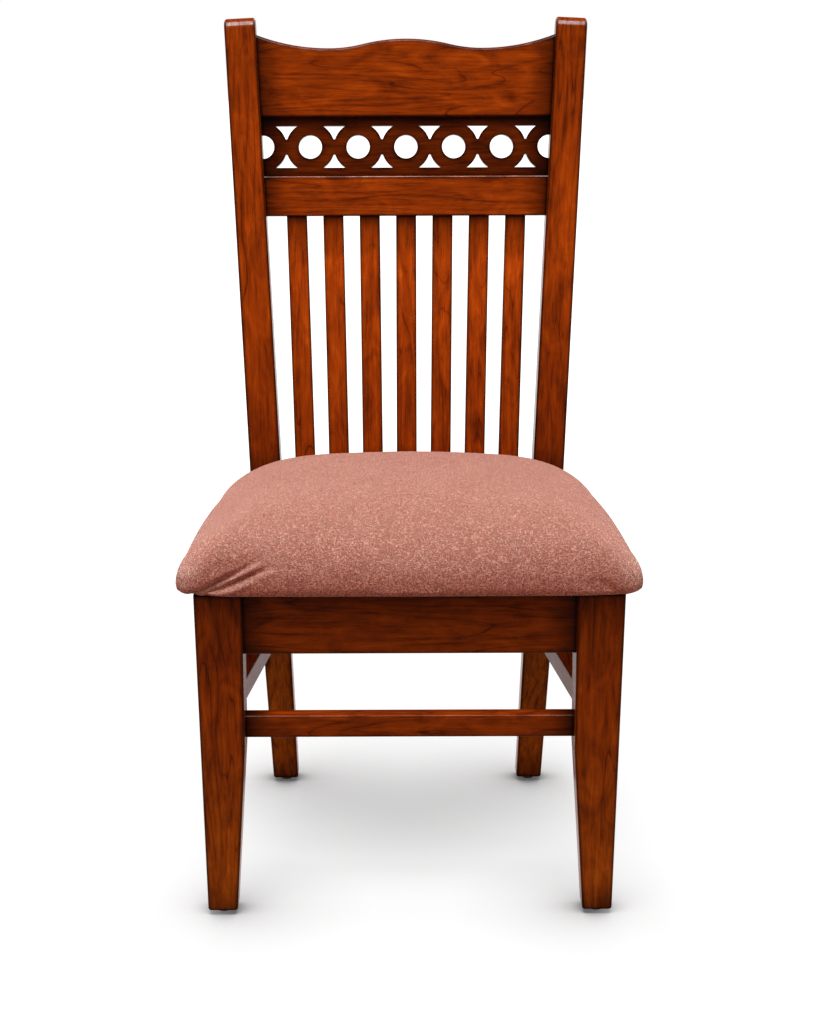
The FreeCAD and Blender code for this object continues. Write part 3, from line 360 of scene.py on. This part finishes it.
def lacquered_wood(name, turn, seed, shades, gloss, half=None):
    """Stained wood with its grain along X once the place is turned. Shades are heights with the painted light and
    shade there. Gloss is how thick the lacquer lies on rounded edges that lean up, and how much of their painted edge
    shade is taken off as if lit. Half is how far a rail reaches to each side, where painted shade darkens it against
    its posts."""
    material, tree, shader, place = new_finish(name)
    drift = Vector((seed * 1.37, seed * 0.61, seed * 0.83))
    grain = stretch(tree, place, (1, 1, 1), turn, drift)
    light, fibres, clouds = wood_figure(tree, grain)
    # Painted shade: darker in joints by Ambient Occlusion and along edges by the Bevel node, less where an edge leans
    # up to the lamp, as if lit.
    joint = add(tree, "ShaderNodeAmbientOcclusion", {"Distance": JOINT_REACH}, samples=6).outputs["AO"]
    facing = add(tree, "ShaderNodeNewGeometry").outputs["Normal"]
    _, depthwise, upward = add(tree, "ShaderNodeSeparateXYZ", {0: facing}).outputs
    edges = maths(tree, "MULTIPLY", near_edges(tree, turn), span(tree, upward, 0.45, 0.75, 1.0, 1.0 - gloss))
    frontal = span(tree, maths(tree, "ABSOLUTE", depthwise), 0.15, 0.60, SIDE_EDGES, 1.0)
    edges = maths(tree, "MULTIPLY", edges, frontal)
    painted_shade = maths(tree, "MULTIPLY", span(tree, edges, 0.0, 1.0, 1.0, EDGE_SHADE),
                 span(tree, joint, 0.42, 0.97, JOINT_SHADE, 1.0))
    across, _, height = add(tree, "ShaderNodeSeparateXYZ", {0: place}).outputs
    # Painted shade at each end of a rail, where it meets a post.
    if half:
        aside = maths(tree, "ABSOLUTE", across)
        painted_shade = maths(tree, "MULTIPLY", painted_shade, span(tree, aside, half - END_REACH, half, 1.0, END_SHADE, smooth=True))
    # Painted light and shade by height, from the piece's shades.
    shade = ramp(tree, height, shades)
    stained_and_shaded = blend_colours(tree, 1.0, ramp(tree, light, STAIN), shade, "MULTIPLY")
    stained_and_shaded = blend_colours(tree, 1.0, stained_and_shaded, painted_shade, "MULTIPLY")
    tree.links.new(stained_and_shaded, shader.inputs["Base Color"])
    tree.links.new(span(tree, clouds, 0.3, 0.7, 0.14, 0.24), shader.inputs["Roughness"])
    shader.inputs["IOR"].default_value = STAIN_IOR
    lacquer = maths(tree, "MULTIPLY", span(tree, upward, 0.26, 0.44), span(tree, upward, 0.66, 0.84, gloss, 0.0))
    lacquer = maths(tree, "MULTIPLY", lacquer, span(tree, clouds, 0.40, 0.62, 0.35, 1.0))
    tree.links.new(lacquer, shader.inputs["Coat Weight"])
    tree.links.new(span(tree, upward, 0.60, 0.90, 0.5, 0.0), shader.inputs["Specular IOR Level"])
    shader.inputs["Coat Roughness"].default_value = LACQUER_ROUGHNESS
    shader.inputs["Coat IOR"].default_value = LACQUER_IOR
    bump = add(tree, "ShaderNodeBump", {"Height": fibres, "Strength": 0.04, "Distance": FIBRE_DEPTH})
    tree.links.new(bump.outputs[0], shader.inputs["Normal"])
    return material


print("stain with", len(STAIN), "steps")

# %% [markdown]
# Which way the grain runs
# Legs, posts and slats stand up, rails and stretchers lie across, and the side pieces run from front to back.
# The posts and slats lean back with the chair, so their grain leans with them.

# %% Grain of each piece
LEAN = math.radians(9.65)
SPLAY = math.radians(2.9)
QUARTER = math.pi / 2
UPRIGHT = (0, QUARTER, 0)
LEANING = (LEAN, QUARTER, 0)
ACROSS = (0, 0, 0)
BACKWARDS = (0, 0, -QUARTER)
GRAIN = {
    "front_leg_left": UPRIGHT, "front_leg_right": UPRIGHT,
    "back_post_left": (LEAN, QUARTER + SPLAY, 0), "back_post_right": (LEAN, QUARTER - SPLAY, 0),
    "front_seat_rail": ACROSS, "rear_seat_rail": ACROSS, "front_stretcher": ACROSS, "rear_stretcher": ACROSS,
    "side_seat_rail_left": BACKWARDS, "side_seat_rail_right": BACKWARDS,
    "side_stretcher_left": BACKWARDS, "side_stretcher_right": BACKWARDS,
    "crest_rail": ACROSS, "ring_fret_panel": ACROSS, "middle_back_rail": ACROSS, "lower_back_rail": ACROSS,
}
GRAIN.update({f"back_slat_{number}": LEANING for number in range(1, 8)})
print("pieces with a grain of their own:", len(GRAIN))

# %% [markdown]
# Painted light and shade on each piece
# The colour is painted lighter and darker by height, where light and shadow fall on it: the posts and legs grow
# lighter towards the floor, the slats darken under the rail that holds them, and the ring panel lies in the painted
# shadow of the crest. Each piece gets its own lightness by height, and so one material of its own. The rails also
# darken with painted shade where they meet the posts, and that is at the shoulder of the tenon.

# %% Shades of each piece
RAIL_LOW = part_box("middle_back_rail")[0].z
CREST_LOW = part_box("crest_rail")[0].z
STRETCHER_TOP = 239.5 * MM


def plain(*shares):
    """Heights in metres, each with the painted light or shade that the stain gets there."""
    return [(level, (share,) * 3) for level, share in shares]


# Painted light and shade by height: lighter low on posts and legs, darker under the seat, the middle rail and the
# crest, lighter on the stretcher's lit top.
POST_SHADES = [(0.0, (1.8, 2.3, 3.0)), (0.30, (0.92, 1.65, 3.2))] + plain(
    (0.46, 0.68), (0.70, 1.20), (0.90, 0.98), (0.96, 0.86))
LEG_SHADES = [(0.0, (1.1, 1.45, 2.0)), (0.08, (1.1, 1.35, 1.6))] + plain(
    (0.25, 0.93), (0.34, 0.70), (0.385, 0.50))
SLAT_SHADES = plain((0.0, 0.94), (0.52, 1.04), (0.70, 1.56), (RAIL_LOW - 0.04, 1.16), (RAIL_LOW - 0.012, 0.80),
                    (RAIL_LOW, 0.32))
SHADES = {
    "back_post_left": POST_SHADES, "back_post_right": POST_SHADES,
    "front_leg_left": LEG_SHADES, "front_leg_right": LEG_SHADES,
    "front_seat_rail": plain((0.0, 0.70)),
    "ring_fret_panel": plain((0.0, 0.42), (CREST_LOW - 0.020, 0.40), (CREST_LOW, 0.12)),
    "crest_rail": plain((0.0, 0.90)),
    "middle_back_rail": plain((0.0, 0.97)),
    "front_stretcher": plain((0.0, 0.90), (STRETCHER_TOP - 2 * MM, 0.90), (STRETCHER_TOP, 2.1)),
}
PLAIN = plain((0.0, 0.94))
GLOSS = {"back_post_left": 1.0, "back_post_right": 1.0, "middle_back_rail": 0.85, "crest_rail": 0.22,
         "front_stretcher": 0.55}
PLAIN_GLOSS = 0.4
RAIL_TENON = 15 * MM
BACK_TENON = 18 * MM
TENONS = {"crest_rail": BACK_TENON, "middle_back_rail": BACK_TENON, "lower_back_rail": BACK_TENON,
          "ring_fret_panel": 6 * MM, "front_seat_rail": RAIL_TENON, "rear_seat_rail": RAIL_TENON,
          "front_stretcher": RAIL_TENON, "rear_stretcher": RAIL_TENON}
for seed, (node, turn) in enumerate(GRAIN.items(), start=1):
    shades = SLAT_SHADES if node.startswith("back_slat") else SHADES.get(node, PLAIN)
    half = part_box(node)[1].x - TENONS[node] if node in TENONS else None
    gloss = GLOSS.get(node, PLAIN_GLOSS)
    wear(nodes[node], lacquered_wood("lacquered_" + node, turn, seed, shades, gloss, half))
print("lacquered pieces:", len(GRAIN))

# %% [markdown]
# The plain fittings
# Under the seat are the parts nobody dresses up: planed corner blocks with zinc screws, the sawn edge of a plywood
# board, a black dust cloth, and a bronzed glide under each foot. Each has a small finish of its own with the detail
# of the real thing: pale grain, turned metal, layers of veneer and pressed fibres.

# %% Fittings
BLOCK_WOOD = [(0.0, (0.36, 0.21, 0.10)), (0.5, (0.55, 0.37, 0.20)), (1.0, (0.68, 0.50, 0.30))]
VENEER = [(0.0, (0.30, 0.18, 0.09)), (0.5, (0.52, 0.36, 0.20)), (1.0, (0.66, 0.49, 0.30))]
VENEER_LAYER = 1.7 * MM
BRONZE = [(0.0, (0.030, 0.017, 0.006)), (1.0, (0.120, 0.070, 0.026))]
ZINC = [(0.0, (0.36, 0.36, 0.35)), (1.0, (0.62, 0.62, 0.60))]
DUST = [(0.0, (0.008, 0.008, 0.008)), (1.0, (0.040, 0.039, 0.038))]


def finish_from(name, pattern, colours, roughness, metallic=0.0, bump_depth=0.1 * MM):
    """A finish whose colour, roughness and bump all follow one pattern of the place."""
    material, tree, shader, place = new_finish(name)
    light = pattern(tree, place)
    tree.links.new(ramp(tree, light, colours), shader.inputs["Base Color"])
    tree.links.new(span(tree, light, 0.0, 1.0, *roughness), shader.inputs["Roughness"])
    shader.inputs["Metallic"].default_value = metallic
    bump = add(tree, "ShaderNodeBump", {"Height": light, "Strength": 0.4, "Distance": bump_depth})
    tree.links.new(bump.outputs[0], shader.inputs["Normal"])
    return material


def pale_grain(tree, place):
    grain = stretch(tree, place, (1, 1, 1), (0, 0, math.radians(45)))
    return span(tree, noise(tree, stretch(tree, grain, (8, 130, 130)), 1.0, 4.0, 0.6, 0.4), 0.3, 0.7)


def veneer_layers(tree, place):
    height = add(tree, "ShaderNodeSeparateXYZ", {0: place}).outputs["Z"]
    layers = maths(tree, "PINGPONG", maths(tree, "MULTIPLY", height, 1 / VENEER_LAYER), 1.0)
    saw = noise(tree, stretch(tree, place, (60, 60, 900)), 1.0, 2.0)
    return maths(tree, "MULTIPLY_ADD", layers, 0.5, maths(tree, "MULTIPLY", saw, 0.6))


def turned_metal(tree, place):
    return span(tree, noise(tree, stretch(tree, place, (300, 300, 2600)), 1.0, 3.0), 0.3, 0.7)


def pressed_fibres(tree, place):
    fine = noise(tree, place, 700, 3.0, 0.7, 1.5)
    return span(tree, fine, 0.25, 0.75)


bare_wood = finish_from("planed_wood", pale_grain, BLOCK_WOOD, (0.75, 0.6))
plywood = finish_from("sawn_plywood", veneer_layers, VENEER, (0.85, 0.7))
bronze = finish_from("bronzed_metal", turned_metal, BRONZE, (0.62, 0.5), 0.8, 0.02 * MM)
zinc = finish_from("zinc_plate", turned_metal, ZINC, (0.42, 0.3), 1.0, 0.02 * MM)
dust_cloth = finish_from("dust_cloth", pressed_fibres, DUST, (1.0, 0.9))
FITTINGS = {"corner_block": bare_wood, "corner_block_screws": zinc, "seat_screws": zinc, "seat_board": plywood,
            "dust_cover": dust_cloth, "foot_glide": bronze}
for node, piece in nodes.items():
    fitting = [name for name in FITTINGS if node.startswith(name)]
    if fitting:
        wear(piece, FITTINGS[max(fitting, key=len)])
print("fittings finished:", len(FITTINGS))

# %% [markdown]
# The outline of the stuffed seat
# The seat is foam on a board under a soft woven cover. From above it is wider in front than behind, with rounded
# corners and sides that bow out a little. Between the back posts it swells towards the rear rail. A curve object could
# hold this outline, but then each side would be edited by hand, so it is worked out from a few sizes: straight sides
# with an arc at each corner, spaced evenly, and then pushed out.

# %% Outline of the seat
SEAT_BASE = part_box("seat_cover")[0].z
SEAT_FRONT = leg_face - 11 * MM
SEAT_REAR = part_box("seat_cover")[1].y - 2 * MM
FRONT_HALF = 268 * MM
REAR_HALF = 232.5 * MM
FRONT_CORNER = 34 * MM
REAR_CORNER = 58 * MM
CORNER_STEPS = 12
FRONT_BOW = 5 * MM
SIDE_BOW = 8 * MM
BOW_BACK = 1.3
REAR_SWELL = 13 * MM
POST_GAP = 140 * MM


def between_posts(points):
    """One in the middle of the gap between the back posts, falling to nothing at the posts."""
    return np.clip(1 - (points[:, 0] / POST_GAP) ** 2, 0, 1)


def seat_outline(count=240):
    """Points round the seat at its widest, evenly spaced, with the outward direction of each."""
    corners = [(-FRONT_HALF, SEAT_FRONT, FRONT_CORNER), (FRONT_HALF, SEAT_FRONT, FRONT_CORNER),
               (REAR_HALF, SEAT_REAR, REAR_CORNER), (-REAR_HALF, SEAT_REAR, REAR_CORNER)]
    line = []
    for index, (x, y, radius) in enumerate(corners):
        corner = Vector((x, y))
        to_last = (Vector(corners[index - 1][:2]) - corner).normalized()
        to_next = (Vector(corners[(index + 1) % 4][:2]) - corner).normalized()
        half_angle = to_last.angle(to_next) / 2
        centre = corner + (to_last + to_next).normalized() * radius / math.sin(half_angle)
        start = corner + to_last * radius / math.tan(half_angle) - centre
        sweep = math.pi - 2 * half_angle
        for step in range(CORNER_STEPS + 1):
            turn = Matrix.Rotation(sweep * step / CORNER_STEPS, 2)
            line.append(centre + turn @ start)
    line = np.array(line + line[:1])
    run = np.concatenate([[0], np.cumsum(np.linalg.norm(np.diff(line, axis=0), axis=1))])
    even = np.linspace(0, run[-1], count, endpoint=False)
    points = np.stack([np.interp(even, run, line[:, axis]) for axis in (0, 1)], axis=1)
    along = np.roll(points, -1, axis=0) - np.roll(points, 1, axis=0)
    outward = np.stack([along[:, 1], -along[:, 0]], axis=1)
    outward /= np.linalg.norm(outward, axis=1)[:, None]
    front = np.clip(-outward[:, 1], 0, 1)
    points[:, 1] -= front * FRONT_BOW * np.cos(points[:, 0] / FRONT_HALF * math.pi / 2)
    back_share = (points[:, 1] - SEAT_FRONT) / (SEAT_REAR - SEAT_FRONT)
    rear = np.clip(outward[:, 1], 0, 1)
    points[:, 1] += rear * REAR_SWELL * between_posts(points)
    points[:, 0] += outward[:, 0] * SIDE_BOW * np.sin(np.clip(back_share, 0, 1) ** BOW_BACK * math.pi)
    return points, outward


outline, outward = seat_outline()
print("seat outline", (np.ptp(outline, axis=0) / MM).round(1).tolist(), "mm wide and deep")

# %% [markdown]
# The shape of the seat before it is filled
# The cover is pulled down over the edge and folded under. The seat could be one rounded box, but stuffing pushes cloth
# outwards, most where nothing holds it. So we draw it slightly lean, as rings from the folded edge underneath, round
# the side and up to the crown, and let a cloth simulation fill it. The top is domed and arched across. Behind, the
# fold lies flat on the rear rail and sags a little between the posts, so that no light shows through.

# %% Shape of the seat before filling
WIDEST = 9 * MM
CROWN = 80.5 * MM
CROWN_REACH = (124 * MM, 112 * MM, 99 * MM)  # how far in the crown starts at the sides, in front and behind
CROWN_POWER = 2.18
CROWN_RINGS = 30
RING_CROWDING = 1.5
DOME = 11.5 * MM
ARCH = 11 * MM
ARCH_LEVEL = 0.8
REAR_REST = 0.85
REAR_SAG = 3 * MM
EDGE_STEPS = [  # inset from the widest outline and height, round the folded edge, in mm
    (34, 4.2), (27, 2.6), (22, 0.2), (15, 0.4), (9, 2.0), (2.4, 2.5), (0.7, 4.2), (0.1, 6.4)]


def seat_rings():
    """Rings of the seat's skin from the fold underneath to the middle of the top."""
    middle = np.array([0.0, (SEAT_FRONT + SEAT_REAR) / 2])
    rings = []
    rearward = np.clip(outward[:, 1], 0, 1)
    lift = 1 - REAR_REST * rearward
    sag = REAR_SAG * rearward * between_posts(outline)
    for inset, height in EDGE_STEPS:
        flat = outline - outward * inset * MM
        rings.append(np.column_stack([flat, SEAT_BASE + height * lift * MM - sag]))
    side, front, rear = CROWN_REACH
    reach = np.sqrt((outward[:, 0] * side) ** 2 + (np.clip(-outward[:, 1], 0, 1) * front) ** 2
                    + (rearward * rear) ** 2)
    from_middle = np.linalg.norm(outline - middle, axis=1)
    for step in range(CROWN_RINGS):
        share = (step / CROWN_RINGS) ** RING_CROWDING
        flat = middle + (outline - middle) * (1 - share)
        inward = np.clip(share * from_middle / reach, 0, 1)
        rise = (1 - (1 - inward) ** CROWN_POWER) ** (1 / CROWN_POWER)
        dome = DOME * math.sin(share * math.pi / 2)
        arch = ARCH * rise * (np.cos(flat[:, 0] / FRONT_HALF * math.pi / 2) - ARCH_LEVEL)
        rings.append(np.column_stack([flat, SEAT_BASE + WIDEST + (CROWN - WIDEST) * rise + dome + arch]))
    return rings


def skin_over(name, rings):
    """A closed mesh through rings of points, capped with a point at each end."""
    count = len(rings[0])
    points = np.concatenate(rings + [rings[0].mean(axis=0)[None], rings[-1].mean(axis=0)[None]])
    low_cap, high_cap = len(points) - 2, len(points) - 1
    faces = []
    for row in range(len(rings) - 1):
        for at in range(count):
            after = (at + 1) % count
            faces.append((row * count + at, row * count + after, (row + 1) * count + after, (row + 1) * count + at))
    last = (len(rings) - 1) * count
    for at in range(count):
        after = (at + 1) % count
        faces.append((low_cap, after, at))
        faces.append((high_cap, last + at, last + after))
    mesh = bpy.data.meshes.new(name)
    mesh.from_pydata(points.tolist(), [], faces)
    mesh.validate()
    piece = bpy.data.objects.new(name, mesh)
    scene.collection.objects.link(piece)
    return piece


seat = skin_over("stuffed_seat", seat_rings())
print("seat drawn with", len(seat.data.vertices), "points")

# %% [markdown]
# Helpers for meshes
# The next steps read and move many points at once. A loop over the points would be slow, so they go through arrays.
# A modifier's result is kept as a plain mesh, because the simulation must not run again later. Moves are evened out
# between neighbours, which takes away small dents and leaves the larger swell.

# %% Mesh helpers
EVENING = 40


def positions(mesh):
    flat = np.empty(len(mesh.vertices) * 3)
    mesh.vertices.foreach_get("co", flat)
    return flat.reshape(-1, 3)


def put_positions(mesh, points):
    mesh.vertices.foreach_set("co", points.ravel())
    mesh.update()


def apply_modifiers(piece):
    """Keep the mesh as its modifiers show it now, and drop them."""
    graph = bpy.context.evaluated_depsgraph_get()
    shown = bpy.data.meshes.new_from_object(piece.evaluated_get(graph))
    piece.modifiers.clear()
    piece.data = shown


def evened(mesh, move):
    """Each point's move averaged with those of its neighbours, many times over, so that no dents are left."""
    ends = np.empty(len(mesh.edges) * 2, dtype=int)
    mesh.edges.foreach_get("vertices", ends)
    first, second = ends.reshape(-1, 2).T
    count = len(move)
    joined = np.bincount(first, minlength=count) + np.bincount(second, minlength=count)
    for _ in range(EVENING):
        total = [np.bincount(first, move[second, axis], count) + np.bincount(second, move[first, axis], count)
                 for axis in range(3)]
        move = (move + np.stack(total, axis=1) / joined[:, None]) / 2
    return move


print("moves are evened", EVENING, "times")

# %% [markdown]
# Filling the seat
# A voxel remesh gives the cloth small even faces. The cloth is then blown up from inside with gravity off while its
# folded edge underneath is pinned, as the staples hold it. No point may move more than a few millimetres, so the
# seat keeps its size. The cover could be sculpted instead, but the pressure finds by itself where cloth swells most.

# %% Fill the seat
VOXEL = 4.6 * MM
PRESSURE = 4.0
LAST_FRAME = 20
MOST_MOVE = 9 * MM
PIN_HEIGHT = 3.4 * MM


def fill_with_air(piece):
    remesh = piece.modifiers.new("remesh", "REMESH")
    remesh.mode = "VOXEL"
    remesh.voxel_size = VOXEL
    apply_modifiers(piece)
    start = positions(piece.data)
    held = np.nonzero(start[:, 2] < SEAT_BASE + PIN_HEIGHT)[0]
    pins = piece.vertex_groups.new(name="folded_edge")
    pins.add(held.tolist(), 1.0, "REPLACE")
    cloth = piece.modifiers.new("cloth", "CLOTH")
    settings = cloth.settings
    settings.quality = 6
    settings.mass = 0.4
    settings.tension_stiffness = 20
    settings.compression_stiffness = 20
    settings.shear_stiffness = 8
    settings.bending_stiffness = 2.0
    settings.use_pressure = True
    settings.uniform_pressure_force = PRESSURE
    settings.vertex_group_mass = pins.name
    settings.effector_weights.gravity = 0
    cloth.point_cache.frame_start = 1
    cloth.point_cache.frame_end = LAST_FRAME
    for frame_number in range(1, LAST_FRAME + 1):
        scene.frame_set(frame_number)
    apply_modifiers(piece)
    scene.frame_set(1)
    piece.vertex_groups.clear()
    move = positions(piece.data) - start
    length = np.linalg.norm(move, axis=1)
    move *= (np.minimum(length, MOST_MOVE) / np.maximum(length, 1e-9))[:, None]
    put_positions(piece.data, start + evened(piece.data, move))
    return length.max()


print("most movement before the cap", round(fill_with_air(seat) / MM, 1), "mm")
print("filled seat has", len(seat.data.vertices), "points")

# %% [markdown]
# Creases of the cover
# The cover was pulled round the front corners and gathered there, so a few creases run up from each lower corner.
# The simulation has no seams to gather, so the creases are drawn as grooves and ridges along short lines on the front
# of the seat and pressed into the filled mesh. One level of subdivision first gives them enough points.

# %% Creases
FRONT_GRIP = 2.6
CREASES = [  # start and end across and above the seat's base, depth (a ridge is below nought), half width, all in mm
    ((-245, 2), (-174, 39), 7.0, 3.6), ((-229, 4), (-154, 37), 5.4, 3.6), ((-236, 6), (-164, 39), -3.0, 3.0),
    ((-203, 7), (-176, 20), -1.4, 4.0), ((-215, 36), (-150, 44), 1.2, 7.0),
    ((238, 3), (205, 24), 2.0, 4.5), ((224, 4), (186, 22), 1.2, 5.0),
]


def press_creases(piece):
    piece.data.update()
    points = positions(piece.data)
    normals = np.empty(len(points) * 3)
    piece.data.vertices.foreach_get("normal", normals)
    normals = normals.reshape(-1, 3)
    on_front = np.clip(-normals[:, 1] * FRONT_GRIP, 0, 1)
    across = np.column_stack([points[:, 0], points[:, 2] - SEAT_BASE]) / MM
    depth = np.zeros(len(points))
    for start, end, deep, half_width in CREASES:
        start, end = np.array(start, float), np.array(end, float)
        run = end - start
        share = ((across - start) @ run) / (run @ run)
        nearest = start + np.clip(share, 0, 1)[:, None] * run
        away = np.linalg.norm(across - nearest, axis=1)
        fade = np.clip(share * 4 + 0.6, 0, 1) * np.clip((1 - share) * 2.2 + 0.15, 0, 1)
        depth += deep * fade * np.exp(-(away / half_width) ** 2)
    put_positions(piece.data, points - normals * (depth * on_front * MM)[:, None])


def smooth_skin(piece):
    smoother = piece.modifiers.new("finer", "SUBSURF")
    smoother.levels = smoother.render_levels = 1
    apply_modifiers(piece)
    piece.data.polygons.foreach_set("use_smooth", [True] * len(piece.data.polygons))


smooth_skin(seat)
press_creases(seat)
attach(seat, "root")
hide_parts("seat_cover", "seat_foam")
print("creases pressed in:", len(CREASES), "on", len(seat.data.polygons), "faces")

# %% [markdown]
# The woven cover
# The cover is a dusty pink chenille: thin threads that cross and wriggle. A picture of cloth would stretch over the
# rounded edge, so the threads come from two noises in space, one drawn out across the seat and one drawn out from
# front to back and up the front. A thread runs wherever a noise passes its middle value, and where two cross, the
# higher one lies on top. The same pattern gives the colour and the bump, and a little sheen stands for the pile.
# The colour is also painted by the way each face points: on top the threads hardly show, and over the front edge a
# painted shade makes the contrast stronger and the colour darker and redder. The sides are painted lighter, as if lit.

# %% Chenille cover
CHENILLE = [(0.0, (0.420, 0.090, 0.053)), (0.5, (0.760, 0.255, 0.178)), (1.0, (0.985, 0.530, 0.415))]
# Painted light on top and at the sides, painted shade over the front edge.
PAINTED_TOP_LIGHT = (1.03, 1.06, 1.07)
PAINTED_FRONT_SHADE = (0.71, 0.325, 0.225)
PAINTED_SIDE_LIGHT = (1.30, 1.42, 1.47)
FLAT_TOP, OVER_EDGE = 0.85, -0.1  # how far a face points up on top, and past the front edge
# Thread contrast is painted shade between the threads, weak on top and strong over the front edge.
CONTRAST_UP, CONTRAST_DOWN = 0.60, 2.0
WEFT = (255, 790, 790)
WARP = (730, 305, 305)
WARP_DRIFT = (3.1, 1.7, 0.4)
SPECKS = 1100
CLOUDING = 20
THREAD_SHARE, SPECK_SHARE, CLOUDING_SHARE = 0.56, 0.26, 0.26
SHEEN = 0.32
SHEEN_TINT = (0.96, 0.66, 0.58, 1.0)
PILE_DEPTH = 0.9 * MM


def wriggling_threads(tree, where):
    """Thin threads: one along each line where a noise passes its middle value, falling off to both sides."""
    level = noise(tree, where, 1.0, 0.0, 0.5, 0.25)
    return span(tree, maths(tree, "ABSOLUTE", maths(tree, "SUBTRACT", level, 0.5)), 0.01, 0.13, 1.0, 0.0)


def chenille():
    material, tree, shader, place = new_finish("pink_chenille")
    weft = wriggling_threads(tree, stretch(tree, place, WEFT))
    warp = wriggling_threads(tree, stretch(tree, place, WARP, move=WARP_DRIFT))
    threads = maths(tree, "MAXIMUM", weft, warp)
    specks = noise(tree, place, SPECKS, 2.0)
    clouds = noise(tree, place, CLOUDING, 3.0, 0.6)
    light = maths(tree, "MULTIPLY_ADD", threads, THREAD_SHARE, maths(tree, "MULTIPLY", specks, SPECK_SHARE))
    light = maths(tree, "MULTIPLY_ADD", clouds, CLOUDING_SHARE, light)
    light = span(tree, light, 0.08, 0.90)
    facing = add(tree, "ShaderNodeNewGeometry").outputs["Normal"]
    aside, _, upward = add(tree, "ShaderNodeSeparateXYZ", {0: facing}).outputs
    # Painted shade between the threads, stronger where the face leans over the front edge.
    light = maths(tree, "MULTIPLY_ADD", maths(tree, "SUBTRACT", light, 0.44),
                  span(tree, upward, FLAT_TOP, OVER_EDGE, CONTRAST_UP, CONTRAST_DOWN), 0.5)
    over_side = maths(tree, "MULTIPLY", span(tree, maths(tree, "ABSOLUTE", aside), 0.0, 0.90, smooth=True),
                      span(tree, upward, 0.0, 0.5, 0.1, 1.0, smooth=True))
    # Painted light on top and at the sides, painted shade over the front edge.
    shade = blend_colours(tree, span(tree, upward, FLAT_TOP, OVER_EDGE), PAINTED_TOP_LIGHT, PAINTED_FRONT_SHADE)
    shade = blend_colours(tree, over_side, shade, PAINTED_SIDE_LIGHT)
    dyed_and_shaded = blend_colours(tree, 1.0, ramp(tree, light, CHENILLE), shade, "MULTIPLY")
    tree.links.new(dyed_and_shaded, shader.inputs["Base Color"])
    shader.inputs["Roughness"].default_value = 0.95
    shader.inputs["IOR"].default_value = 1.2
    shader.inputs["Sheen Weight"].default_value = SHEEN
    shader.inputs["Sheen Roughness"].default_value = 0.6
    shader.inputs["Sheen Tint"].default_value = SHEEN_TINT
    pile = maths(tree, "MULTIPLY_ADD", specks, 0.3, threads)
    bump = add(tree, "ShaderNodeBump", {"Height": pile, "Strength": 1.0, "Distance": PILE_DEPTH})
    tree.links.new(bump.outputs[0], shader.inputs["Normal"])
    return material


wear(seat, chenille())
print("cover woven with threads about", round(1000 / WEFT[1], 1), "mm apart, wriggling every",
      round(1000 / WEFT[0], 1), "mm")

# %% [markdown]
# Staples under the seat
# The dust cloth under the seat is held to the board by wire staples all round. They repeat along a path, so
# Geometry Nodes sets them: the edge of the cloth becomes a curve, points are laid along it, and each point gets
# a short piece of wire that lies along the curve.

# %% Staples
STAPLE_LENGTH = 11 * MM
STAPLE_WIRE = 1.1 * MM
STAPLE_SPACING = 34 * MM
STAPLE_INSET = 9 * MM
WIRE_SIDES = 10


def staple_tree():
    tree = bpy.data.node_groups.new("staple_row", "GeometryNodeTree")
    face = tree.interface
    face.new_socket("Geometry", in_out="INPUT", socket_type="NodeSocketGeometry")
    sizes = [face.new_socket(name, in_out="INPUT", socket_type="NodeSocketFloat")
             for name in ("Spacing", "Length", "Radius")]
    face.new_socket("Geometry", in_out="OUTPUT", socket_type="NodeSocketGeometry")
    given = add(tree, "NodeGroupInput").outputs
    line = add(tree, "GeometryNodeMeshToCurve", {"Mesh": given["Geometry"]})
    row = add(tree, "GeometryNodeCurveToPoints", {"Curve": line.outputs[0], "Length": given["Spacing"]}, mode="LENGTH")
    wire = add(tree, "GeometryNodeMeshCylinder",
               {"Vertices": WIRE_SIDES, "Radius": given["Radius"], "Depth": given["Length"]})
    staples = add(tree, "GeometryNodeInstanceOnPoints", {
        "Points": row.outputs["Points"], "Instance": wire.outputs["Mesh"], "Rotation": row.outputs["Rotation"]})
    solid = add(tree, "GeometryNodeRealizeInstances", {0: staples.outputs[0]})
    dressed = add(tree, "GeometryNodeSetMaterial", {"Geometry": solid.outputs[0], "Material": zinc})
    add(tree, "NodeGroupOutput", {0: dressed.outputs[0]})
    return tree, [size.identifier for size in sizes]


def staple_path():
    """The edge of the dust cloth's underside, a little way in, as a closed line."""
    cloth = positions(nodes["dust_cover"].data)
    under = cloth[cloth[:, 2] < cloth[:, 2].min() + 0.1 * MM]
    middle = under.mean(axis=0)
    arms = under - middle
    arms = arms[np.argsort(np.arctan2(arms[:, 1], arms[:, 0]))]
    arms *= 1 - STAPLE_INSET / np.linalg.norm(arms, axis=1)[:, None]
    mesh = bpy.data.meshes.new("dust_cover_staples")
    count = len(arms)
    mesh.from_pydata((middle + arms).tolist(), [(at, (at + 1) % count) for at in range(count)], [])
    return mesh


staples = bpy.data.objects.new("dust_cover_staples", staple_path())
scene.collection.objects.link(staples)
row = staples.modifiers.new("staple_row", "NODES")
row.node_group, sockets = staple_tree()
for socket, size in zip(sockets, (STAPLE_SPACING, STAPLE_LENGTH, STAPLE_WIRE / 2)):
    row[socket] = size
apply_modifiers(staples)
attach(staples, "root")
print("staples:", len(staples.data.vertices) // (2 * WIRE_SIDES))
